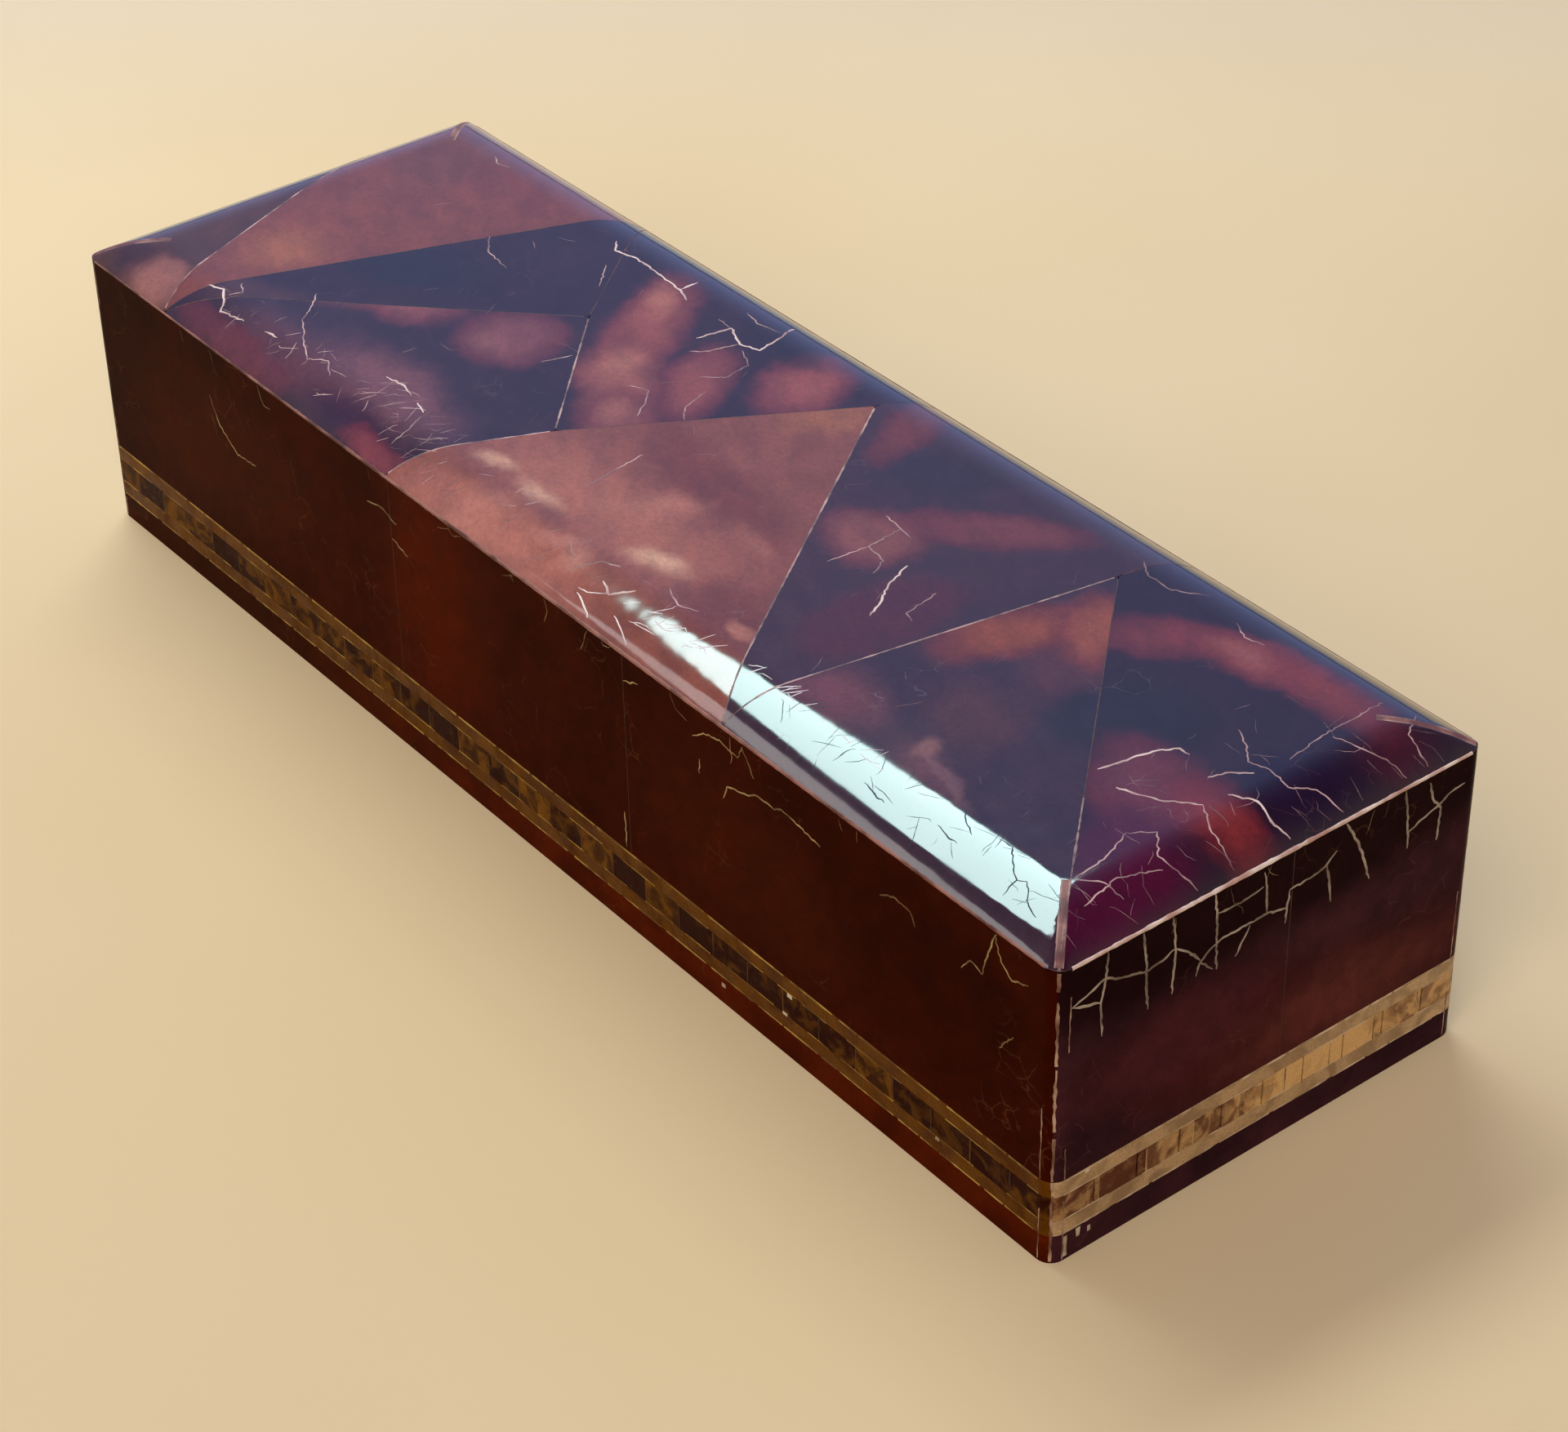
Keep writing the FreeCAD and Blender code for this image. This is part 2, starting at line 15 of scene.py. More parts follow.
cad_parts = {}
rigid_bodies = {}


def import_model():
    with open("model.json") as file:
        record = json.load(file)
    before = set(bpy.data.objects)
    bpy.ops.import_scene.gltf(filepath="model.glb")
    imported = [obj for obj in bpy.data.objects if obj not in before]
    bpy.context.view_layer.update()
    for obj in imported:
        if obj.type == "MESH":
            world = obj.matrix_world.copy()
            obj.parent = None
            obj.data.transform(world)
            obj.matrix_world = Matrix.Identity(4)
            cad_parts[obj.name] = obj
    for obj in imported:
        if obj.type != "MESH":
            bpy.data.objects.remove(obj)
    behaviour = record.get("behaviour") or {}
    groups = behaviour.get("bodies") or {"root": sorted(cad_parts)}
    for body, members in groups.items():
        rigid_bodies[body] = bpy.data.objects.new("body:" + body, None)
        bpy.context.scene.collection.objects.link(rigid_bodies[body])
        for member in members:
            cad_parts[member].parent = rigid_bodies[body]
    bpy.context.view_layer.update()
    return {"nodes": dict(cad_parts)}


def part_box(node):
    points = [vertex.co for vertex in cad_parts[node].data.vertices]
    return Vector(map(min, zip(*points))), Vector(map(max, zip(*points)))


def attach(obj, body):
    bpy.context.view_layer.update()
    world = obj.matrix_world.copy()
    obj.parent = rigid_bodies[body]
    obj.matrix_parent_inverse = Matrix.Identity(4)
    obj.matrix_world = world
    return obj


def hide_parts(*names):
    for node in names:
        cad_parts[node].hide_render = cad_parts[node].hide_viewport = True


for startup_piece in list(bpy.data.objects):
    bpy.data.objects.remove(startup_piece)
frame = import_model()

LOG = logging.getLogger("shell_box")
MM = 0.001
FAR = 1000.0

Colour = tuple[float, float, float, float]
Plan = tuple[float, float]
Feed = object
Socket = bpy.types.NodeSocket
Node = bpy.types.Node
Mesh = bpy.types.Mesh
Material = bpy.types.Material
Piece = bpy.types.Object
Put = Callable[[float, float, float], Vector]
Spot = tuple[float, float, float]
SIGNS = (-1.0, 1.0)


class Body(Enum):
    """The two bodies that the hinge joins."""

    BASE = "base"
    LID = "lid"


class Slot(Enum):
    """The record's material slots that added pieces belong to."""

    TOP = "top_shell"
    SIDE = "side_shell"
    BAND = "band_shell"
    STRIP = "strip_brass"
    HINGE = "hinge_brass"
    FELT = "felt"


class Side(Enum):
    """The four upright faces of the box."""

    FRONT = "front"
    RIGHT = "right"
    BACK = "back"
    LEFT = "left"

    @property
    def long(self) -> bool:
        """Whether it is one of the two long sides."""
        return self in (Side.FRONT, Side.BACK)


class LineForm(Enum):
    """Flat ribbons lie on faces, round rods lie along edges."""

    RIBBON = "Ribbon work"
    ROD = "Rod work"


class Plane(Enum):
    """Which two coordinates a pattern is placed by."""

    PLAN = (0, 1)
    LENGTHWISE = (0, 2)
    CROSSWISE = (1, 2)


def shade(red: float, green: float, blue: float) -> Colour:
    """Turns a colour as it is seen, 0 to 255, into the linear colour that a shader takes."""
    def linear(level: float) -> float:
        """One channel."""
        part = level / 255.0
        return part / 12.92 if part <= 0.04045 else ((part + 0.055) / 1.055) ** 2.4
    return (linear(red), linear(green), linear(blue), 1.0)


class Wiring:
    """Adds nodes to one node tree and joins their sockets."""

    def __init__(self, tree: bpy.types.NodeTree) -> None:
        """Keeps the tree."""
        self.tree = tree

    def feed(self, socket: Socket, value: Feed) -> None:
        """Links a socket to another one, or sets its value."""
        if isinstance(value, Socket):
            self.tree.links.new(value, socket)
        else:
            socket.default_value = value

    def add(self, kind: str, feeds: dict | None = None, **settings: object) -> Node:
        """Adds one node.

        Args:
            kind: the node's type name.
            feeds: input name or number, and the value or socket that it takes.
            settings: the node's own options.

        Returns:
            The new node.
        """
        node = self.tree.nodes.new(kind)
        for key, value in settings.items():
            setattr(node, key, value)
        for key, value in (feeds or {}).items():
            self.feed(node.inputs[key], value)
        return node

    def math(self, operation: str, *values: Feed) -> Socket:
        """A math node's result."""
        node = self.add("ShaderNodeMath", dict(enumerate(values)), operation=operation)
        return node.outputs[0]

    def vector(self, operation: str, *values: Feed) -> Socket:
        """A vector math node's vector result."""
        node = self.add("ShaderNodeVectorMath", dict(enumerate(values)), operation=operation)
        return node.outputs[0]

    def mix(self, factor: Feed, first: Feed, second: Feed, blend: str = "MIX") -> Socket:
        """A colour mixed between two others."""
        feeds = {0: factor, 6: first, 7: second}
        node = self.add("ShaderNodeMix", feeds, data_type="RGBA", blend_type=blend)
        return node.outputs[2]

    def spread(self, value: Feed, low: Feed, high: Feed, start: Feed, end: Feed) -> Socket:
        """A value eased from one range to another."""
        feeds = {0: value, 1: low, 2: high, 3: start, 4: end}
        node = self.add("ShaderNodeMapRange", feeds, interpolation_type="SMOOTHSTEP")
        return node.outputs[0]

    def noise(self, place: Feed, scale: Feed, detail: float = 3.0, twist: float = 0.0) -> Node:
        """A noise texture."""
        feeds = {"Vector": place, "Scale": scale, "Detail": detail, "Distortion": twist}
        return self.add("ShaderNodeTexNoise", feeds)

    def dot(self, first: Feed, second: Feed) -> Socket:
        """How far one vector goes along another."""
        node = self.add("ShaderNodeVectorMath", {0: first, 1: second}, operation="DOT_PRODUCT")
        return node.outputs["Value"]

    def named(self, name: str, kind: str) -> Socket:
        """An attribute of a mesh, read by its name."""
        node = self.add("GeometryNodeInputNamedAttribute", {"Name": name}, data_type=kind)
        return node.outputs["Attribute"]

    def stray(self, place: Feed, scale: Feed, reach: Feed) -> Socket:
        """Coordinates that a noise sets wandering."""
        middle = (0.5, 0.5, 0.5)
        wander = self.vector("SUBTRACT", self.noise(place, scale).outputs["Color"], middle)
        drift = self.add("ShaderNodeVectorMath", {0: wander, "Scale": reach}, operation="SCALE")
        return self.vector("ADD", place, drift.outputs[0])

    def tint(self, mask: Feed, colour: Feed, tint: Colour) -> Socket:
        """A colour multiplied by a tint where a mask says so."""
        return self.mix(mask, colour, self.mix(1.0, colour, tint, "MULTIPLY"))


SOCKETS = {"vector": "NodeSocketVector", "value": "NodeSocketFloat"}


class ShaderGroup:
    """An effect that several finishes share, built once as a shader node group."""

    def __init__(self, name: str, inputs: dict[str, str], outputs: Sequence[str]) -> None:
        """Makes an empty group.

        Args:
            name: what the group is called.
            inputs: each input's name and kind.
            outputs: the names of its values.
        """
        self.tree = bpy.data.node_groups.new(name, "ShaderNodeTree")
        for label, kind in inputs.items():
            self.tree.interface.new_socket(label, in_out="INPUT", socket_type=SOCKETS[kind])
        for label in outputs:
            self.tree.interface.new_socket(label, in_out="OUTPUT", socket_type=SOCKETS["value"])
        self.wiring = Wiring(self.tree)
        self.given = self.wiring.add("NodeGroupInput").outputs
        self.result = self.wiring.add("NodeGroupOutput").inputs

    def put(self, label: str, value: Feed) -> None:
        """Sends a value to one of the group's outputs."""
        self.wiring.feed(self.result[label], value)

    def place(self, wiring: Wiring, feeds: dict) -> bpy.types.bpy_prop_collection:
        """Places the group in a material and returns its outputs."""
        return wiring.add("ShaderNodeGroup", feeds, node_tree=self.tree).outputs


def cloud_group() -> ShaderGroup:
    """A soft-edged blotch round one centre."""
    kinds = {"Place": "vector", "Centre": "vector", "Reach": "vector", "Turn": "value", "Softness": "value"}
    group = ShaderGroup("Cloud", kinds, ["Mask"])
    wiring, given = group.wiring, group.given
    offset = wiring.vector("SUBTRACT", given["Place"], given["Centre"])
    turned = wiring.add("ShaderNodeVectorRotate", {"Vector": offset, "Angle": given["Turn"]},
                        rotation_type="Z_AXIS", invert=True)
    shares = wiring.vector("DIVIDE", turned.outputs[0], given["Reach"])
    distance = wiring.add("ShaderNodeVectorMath", {0: shares}, operation="LENGTH").outputs["Value"]
    outer = wiring.math("ADD", 1.0, given["Softness"])
    inner = wiring.math("SUBTRACT", 1.0, given["Softness"])
    group.put("Mask", wiring.spread(distance, inner, outer, 1.0, 0.0))
    return group


def crackle_group() -> ShaderGroup:
    """The net of hairlines in old lacquer."""
    kinds = {"Place": "vector", "Scale": "value", "Width": "value", "Bend": "value"}
    group = ShaderGroup("Crackle", kinds, ["Line"])
    wiring, given = group.wiring, group.given
    bent = wiring.stray(given["Place"], given["Scale"], given["Bend"])
    cells = wiring.add("ShaderNodeTexVoronoi", {"Vector": bent, "Scale": given["Scale"]},
                       feature="DISTANCE_TO_EDGE")
    line = wiring.spread(cells.outputs["Distance"], 0.0, given["Width"], 1.0, 0.0)
    patches = wiring.spread(wiring.noise(given["Place"], 45.0).outputs[0], 0.48, 0.64, 0.0, 1.0)
    gap_scale = wiring.math("MULTIPLY", given["Scale"], 0.9)
    runs = wiring.spread(wiring.noise(given["Place"], gap_scale, 1.0).outputs[0], 0.47, 0.56, 0.0, 1.0)
    group.put("Line", wiring.math("MULTIPLY", line, wiring.math("MULTIPLY", patches, runs)))
    return group


def mottle_group() -> ShaderGroup:
    """The dappled depth of polished shell, from large patches and drawn-out streaks to fine flecks."""
    group = ShaderGroup("Mottle", {"Place": "vector", "Scale": "value"}, ["Tone", "Fleck", "Streak"])
    wiring, given = group.wiring, group.given
    patches = wiring.noise(given["Place"], given["Scale"], 5.0, 0.8).outputs[0]
    group.put("Tone", wiring.spread(patches, 0.3, 0.72, 0.0, 1.0))
    fleck_scale = wiring.math("MULTIPLY", given["Scale"], 14.0)
    flecks = wiring.noise(given["Place"], fleck_scale, 4.0).outputs[0]
    group.put("Fleck", wiring.spread(flecks, 0.35, 0.7, 0.0, 1.0))
    slant, drawn = (0.5, 0.3, 0.75), (40.0, 210.0, 210.0)
    tilted = wiring.add("ShaderNodeVectorRotate", {"Vector": given["Place"], "Rotation": slant},
                        rotation_type="EULER_XYZ").outputs[0]
    streaks = wiring.noise(wiring.vector("MULTIPLY", tilted, drawn), 1.0, 4.0, 0.4).outputs[0]
    group.put("Streak", wiring.spread(streaks, 0.3, 0.7, 0.0, 1.0))
    return group


def smudge_group() -> ShaderGroup:
    """How handling dulls a gloss unevenly."""
    kinds = {"Place": "vector", "Scale": "value", "Least": "value", "Most": "value"}
    group = ShaderGroup("Smudge", kinds, ["Roughness"])
    wiring, given = group.wiring, group.given
    rubs = wiring.noise(given["Place"], given["Scale"], 4.0, 0.6).outputs[0]
    group.put("Roughness", wiring.spread(rubs, 0.35, 0.68, given["Least"], given["Most"]))
    return group


def grain_group() -> ShaderGroup:
    """Wood grain: drawn-out rings and short pores."""
    group = ShaderGroup("Grain", {"Place": "vector", "Stretch": "vector"}, ["Tone", "Pore"])
    wiring, given = group.wiring, group.given
    drawn = wiring.vector("MULTIPLY", given["Place"], given["Stretch"])
    rings = wiring.noise(drawn, 1.0, 4.0, 1.2).outputs[0]
    group.put("Tone", wiring.spread(rings, 0.3, 0.7, 0.0, 1.0))
    pore_place = wiring.vector("MULTIPLY", drawn, (6.0, 6.0, 6.0))
    pores = wiring.noise(pore_place, 1.0, 2.0).outputs[0]
    group.put("Pore", wiring.spread(pores, 0.56, 0.7, 0.0, 1.0))
    return group


CLOUD = cloud_group()
CRACKLE = crackle_group()
MOTTLE = mottle_group()
SMUDGE = smudge_group()
GRAIN = grain_group()
FLECK_TINT = (0.45, 0.4, 0.4, 1.0)
GRAIN_TINT = (0.55, 0.5, 0.5, 1.0)
STREAK_TINT = (1.5, 1.45, 1.4, 1.0)
ROW_TINT = (0.35, 0.3, 0.25, 1.0)
PORE_TINT = (0.4, 0.34, 0.3, 1.0)


@dataclass(frozen=True)
class Cloud:
    """One blotch of another colour in a shell, placed in millimetres."""

    colour: Colour
    centre: Plan
    reach: Plan
    turn: float = 0.0
    strength: float = 1.0
    softness: float = 0.55
    fringe: float = 0.6

    def lay(self, wiring: Wiring, place: Feed, plane: Plane, ground: Feed, rim: Colour) -> Socket:
        """Lays the blotch on a ground, with the red rim of shell that thins out.

        Args:
            wiring: the material's tree.
            place: object coordinates, already set wandering.
            plane: the two coordinates that the centre and reach belong to.
            ground: the colour under it.
            rim: the colour that it fades through.

        Returns:
            The new colour.
        """
        centre, reach = [0.0] * 3, [FAR] * 3
        for axis, middle, half in zip(plane.value, self.centre, self.reach):
            centre[axis] = middle * MM
            reach[axis] = half * MM
        feeds = {"Place": place, "Centre": centre, "Reach": reach, "Turn": math.radians(self.turn),
                 "Softness": self.softness}
        mask = CLOUD.place(wiring, feeds)["Mask"]
        edge = wiring.spread(mask, 0.0, 0.5, 0.0, self.fringe * self.strength)
        core = wiring.math("MULTIPLY", wiring.math("POWER", mask, 1.3), self.strength)
        return wiring.mix(core, wiring.mix(edge, ground, rim), self.colour)


@dataclass(frozen=True)
class Finish:
    """What all finishes share: a Principled shader that is fed from object coordinates."""

    name: str

    def material(self) -> Material:
        """Builds the finish's material."""
        material = bpy.data.materials.new(self.name)
        material.use_nodes = True
        wiring = Wiring(material.node_tree)
        material.node_tree.nodes.clear()
        shader = wiring.add("ShaderNodeBsdfPrincipled")
        wiring.add("ShaderNodeOutputMaterial", {"Surface": shader.outputs[0]})
        place = wiring.add("ShaderNodeTexCoord").outputs["Object"]
        for label, value in self.looks(wiring, place).items():
            wiring.feed(shader.inputs[label], value)
        return material

    def looks(self, wiring: Wiring, place: Socket) -> dict[str, Feed]:
        """What the shader's inputs take. Each finish has its own.

        Args:
            wiring: the material's tree.
            place: object coordinates.

        Returns:
            The name of each input, with its value or the socket that feeds it.
        """
        raise NotImplementedError

    def rub(self, wiring: Wiring, place: Feed, scale: float, least: float, most: float) -> Socket:
        """A roughness that is uneven, as handling dulls a gloss."""
        feeds = {"Place": place, "Scale": scale, "Least": least, "Most": most}
        return SMUDGE.place(wiring, feeds)["Roughness"]

    def relief(self, wiring: Wiring, height: Feed, strength: float, depth: float) -> Socket:
        """A normal with a fine relief."""
        feeds = {"Strength": strength, "Distance": depth, "Height": height}
        return wiring.add("ShaderNodeBump", feeds).outputs[0]


@dataclass(frozen=True)
class ShellFinish(Finish):
    """Polished shell under lacquer: a dappled ground with blotches and crazing."""

    deep: Colour
    warm: Colour
    clouds: tuple[Cloud, ...] = ()
    plane: Plane = Plane.PLAN
    mottle_scale: float = 60.0
    dapple: float = 0.5
    crack_colour: Colour = shade(150, 112, 104)
    crack_share: float = 0.08
    least_rough: float = 0.04
    most_rough: float = 0.1
    specular: float = 0.5
    coat: float = 0.25
    coat_rough: float = 0.06
    rim: Colour = shade(96, 22, 36)
    wide_scale: float = 80.0
    wide_stray: float = 7.0 * MM
    fine_scale: float = 300.0
    fine_stray: float = 2.6 * MM
    grain_scale: float = 2400.0
    crack_scale: float = 190.0
    crack_width: float = 0.035
    crack_bend: float = 4.0 * MM
    rub_scale: float = 38.0
    ripple_scale: float = 90.0
    ripple_depth: float = 0.16 * MM

    def looks(self, wiring: Wiring, place: Socket) -> dict[str, Feed]:
        """The shell's own look."""
        dapples = MOTTLE.place(wiring, {"Place": place, "Scale": self.mottle_scale})
        depth = wiring.math("MULTIPLY", dapples["Tone"], self.dapple)
        colour = wiring.mix(depth, self.deep, self.warm)
        strayed = wiring.stray(place, self.wide_scale, self.wide_stray)
        strayed = wiring.stray(strayed, self.fine_scale, self.fine_stray)
        for cloud in self.clouds:
            colour = cloud.lay(wiring, strayed, self.plane, colour, self.rim)
        flecks = wiring.math("MULTIPLY", dapples["Fleck"], 0.22)
        colour = wiring.tint(flecks, colour, FLECK_TINT)
        grain = wiring.spread(wiring.noise(place, self.grain_scale, 2.0).outputs[0], 0.3, 0.7, 0.0, 0.3)
        colour = wiring.tint(grain, colour, GRAIN_TINT)
        colour = wiring.tint(wiring.math("MULTIPLY", dapples["Streak"], 0.55), colour, STREAK_TINT)
        feeds = {"Place": place, "Scale": self.crack_scale, "Width": self.crack_width,
                 "Bend": self.crack_bend}
        line = CRACKLE.place(wiring, feeds)["Line"]
        colour = wiring.mix(wiring.math("MULTIPLY", line, self.crack_share), colour, self.crack_colour)
        rubbed = self.rub(wiring, place, self.rub_scale, self.least_rough, self.most_rough)
        dulled = wiring.math("MAXIMUM", rubbed, wiring.math("MULTIPLY", line, 0.2))
        ripple = wiring.noise(place, self.ripple_scale, 2.0).outputs[0]
        return {"Base Color": colour, "Roughness": dulled, "Specular IOR Level": self.specular,
                "Coat Weight": self.coat, "Coat Roughness": self.coat_rough,
                "Normal": self.relief(wiring, ripple, 0.5, self.ripple_depth)}


@dataclass(frozen=True)
class BandFinish(Finish):
    """The row of small shells: each piece has its own tone between brown and honey."""

    brown: Colour
    honey: Colour
    along: int
    pitch: float
    start_at: float
    honey_from: float = FAR
    honey_to: float = FAR
    range_share: float = 0.65
    specular: float = 0.08
    honey_rise: Plan = (-6.0, 4.0)
    honey_fall: Plan = (-3.0, 5.0)
    dapple_scale: float = 260.0
    rub_scale: float = 120.0
    least_rough: float = 0.16
    most_rough: float = 0.34
    relief_depth: float = 0.2 * MM

    def looks(self, wiring: Wiring, place: Socket) -> dict[str, Feed]:
        """The row's own look."""
        run = wiring.add("ShaderNodeSeparateXYZ", {0: place}).outputs[self.along]
        from_start = wiring.math("SUBTRACT", run, self.start_at * MM)
        number = wiring.math("FLOOR", wiring.math("DIVIDE", from_start, self.pitch * MM))
        own = wiring.add("ShaderNodeTexWhiteNoise", {"W": number}, noise_dimensions="1D").outputs["Value"]
        dapples = MOTTLE.place(wiring, {"Place": place, "Scale": self.dapple_scale})
        start, stop = ((self.honey_from + step) * MM for step in self.honey_rise)
        lean = wiring.spread(run, start, stop, 0.0, 0.75)
        start, stop = ((self.honey_to + step) * MM for step in self.honey_fall)
        fall = wiring.spread(run, start, stop, 0.0, 0.5)
        lean = wiring.math("SUBTRACT", lean, fall)
        tone = wiring.math("ADD", lean, wiring.math("MULTIPLY", own, self.range_share))
        tone = wiring.math("ADD", tone, wiring.spread(dapples["Tone"], 0.0, 1.0, -0.22, 0.22))
        clear = wiring.spread(tone, 0.0, 1.0, 0.0, 1.0)
        colour = wiring.mix(clear, self.brown, self.honey)
        colour = wiring.tint(wiring.math("MULTIPLY", dapples["Fleck"], 0.35), colour, ROW_TINT)
        rubbed = self.rub(wiring, place, self.rub_scale, self.least_rough, self.most_rough)
        return {"Base Color": colour, "Roughness": rubbed, "Specular IOR Level": self.specular,
                "Normal": self.relief(wiring, dapples["Fleck"], 0.4, self.relief_depth)}


@dataclass(frozen=True)
class BrassFinish(Finish):
    """Aged brass: bright where it is rubbed, brown where it has tarnished."""

    bright: Colour
    tarnish: Colour
    amount: float
    metallic: float = 0.85
    specular: float = 0.15
    dapple_scale: float = 150.0
    rub_scale: float = 210.0
    least_rough: float = 0.28
    most_rough: float = 0.52
    relief_depth: float = 0.1 * MM

    def looks(self, wiring: Wiring, place: Socket) -> dict[str, Feed]:
        """The brass's own look."""
        dapples = MOTTLE.place(wiring, {"Place": place, "Scale": self.dapple_scale})
        patches = wiring.spread(dapples["Tone"], 0.0, 1.0, self.amount - 0.35, self.amount + 0.35)
        patches = wiring.add("ShaderNodeClamp", {0: patches}).outputs[0]
        colour = wiring.mix(patches, self.bright, self.tarnish)
        colour = wiring.mix(wiring.math("MULTIPLY", dapples["Fleck"], 0.4), colour, self.tarnish)
        rubbed = self.rub(wiring, place, self.rub_scale, self.least_rough, self.most_rough)
        return {"Base Color": colour, "Metallic": self.metallic, "Roughness": rubbed,
                "Specular IOR Level": self.specular,
                "Normal": self.relief(wiring, dapples["Fleck"], 0.35, self.relief_depth)}


@dataclass(frozen=True)
class WoodFinish(Finish):
    """Plain wood with its grain along one direction."""

    light: Colour
    dark: Colour
    stretch: Spot
    roughness: float = 0.55
    rough_play: float = 0.1
    rub_scale: float = 60.0
    pore_depth: float = 0.1 * MM

    def looks(self, wiring: Wiring, place: Socket) -> dict[str, Feed]:
        """The wood's own look."""
        grain = GRAIN.place(wiring, {"Place": place, "Stretch": self.stretch})
        colour = wiring.mix(grain["Tone"], self.light, self.dark)
        colour = wiring.tint(wiring.math("MULTIPLY", grain["Pore"], 0.45), colour, PORE_TINT)
        least, most = self.roughness - self.rough_play, self.roughness + self.rough_play
        rubbed = self.rub(wiring, place, self.rub_scale, least, most)
        return {"Base Color": colour, "Roughness": rubbed, "Specular IOR Level": 0.3,
                "Normal": self.relief(wiring, grain["Pore"], 0.5, self.pore_depth)}


@dataclass(frozen=True)
class FeltFinish(Finish):
    """Short-napped felt."""

    nap: Colour
    worn: Colour
    dapple_scale: float = 55.0
    fibre_scale: float = 2600.0
    nap_depth: float = 0.3 * MM

    def looks(self, wiring: Wiring, place: Socket) -> dict[str, Feed]:
        """The felt's own look."""
        dapples = MOTTLE.place(wiring, {"Place": place, "Scale": self.dapple_scale})
        colour = wiring.mix(wiring.math("MULTIPLY", dapples["Tone"], 0.6), self.nap, self.worn)
        fibres = wiring.noise(place, self.fibre_scale, 3.0).outputs[0]
        colour = wiring.mix(wiring.spread(fibres, 0.4, 0.65, 0.0, 0.5), colour, self.worn)
        return {"Base Color": colour, "Roughness": 0.95, "Sheen Weight": 0.35, "Specular IOR Level": 0.1,
                "Normal": self.relief(wiring, fibres, 0.6, self.nap_depth)}


@dataclass(frozen=True)
class LineFinish(Finish):
    """Dry filler, a crack's edge or a rubbed arris: one tone drifting into another."""

    pale: Colour
    dull: Colour
    roughness: float = 0.55
    rough_play: float = 0.12
    drift_scale: float = 160.0

    def looks(self, wiring: Wiring, place: Socket) -> dict[str, Feed]:
        """The line's own look."""
        drift = wiring.noise(place, self.drift_scale, 4.0).outputs[0]
        tone = wiring.spread(drift, 0.36, 0.64, 0.0, 1.0)
        least, most = self.roughness - self.rough_play, self.roughness + self.rough_play
        rough = wiring.spread(drift, 0.3, 0.7, least, most)
        return {"Base Color": wiring.mix(tone, self.dull, self.pale), "Roughness": rough,
                "Specular IOR Level": 0.25}


@dataclass(frozen=True)
class FloorFinish(Finish):
    """The pale studio floor."""

    pale: Colour
    shaded: Colour
    far: Colour
    drift_scale: float = 3.0
    far_way: Spot = (-0.79, 0.61, 0.0)

    def looks(self, wiring: Wiring, place: Socket) -> dict[str, Feed]:
        """The floor's own look."""
        drift = wiring.noise(place, self.drift_scale, 4.0).outputs[0]
        colour = wiring.mix(wiring.spread(drift, 0.3, 0.7, 0.0, 1.0), self.pale, self.shaded)
        distance = wiring.spread(wiring.dot(place, self.far_way), 0.2, 0.75, 0.0, 1.0)
        return {"Base Color": wiring.mix(distance, colour, self.far), "Roughness": 0.8,
                "Specular IOR Level": 0.1}


def new_piece(name: str, mesh: Mesh) -> Piece:
    """Puts a mesh in the scene as an object at the origin."""
    piece = bpy.data.objects.new(name, mesh)
    bpy.context.scene.collection.objects.link(piece)
    return piece


def declare(piece: Piece, body: Body, slot: Slot, *nodes: str) -> None:
    """Hangs a piece on its body and hides the nodes it stands for."""
    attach(piece, body.value)
    if nodes:
        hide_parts(*nodes)
    LOG.info("%s: %d faces on %s", piece.name, len(piece.data.polygons), body.value)


def dress(material: Material, *names: str) -> None:
    """Gives CAD nodes a material."""
    for name in names:
        for holder in frame["nodes"][name].material_slots:
            holder.material = material
        LOG.info("%s: %s", name, material.name)


# How far under a surface a second point is taken, to find which way a line on it faces.
FACING_DEPTH = 1.0 * MM
# A ribbon's section and a rod's, for a line of half width one.
RIBBON_CREST = 0.1
RIBBON_ROOT = -0.35
CREST_HALF = 0.7
ROOT_HALF = 1.3
ROD_SIDES = 14


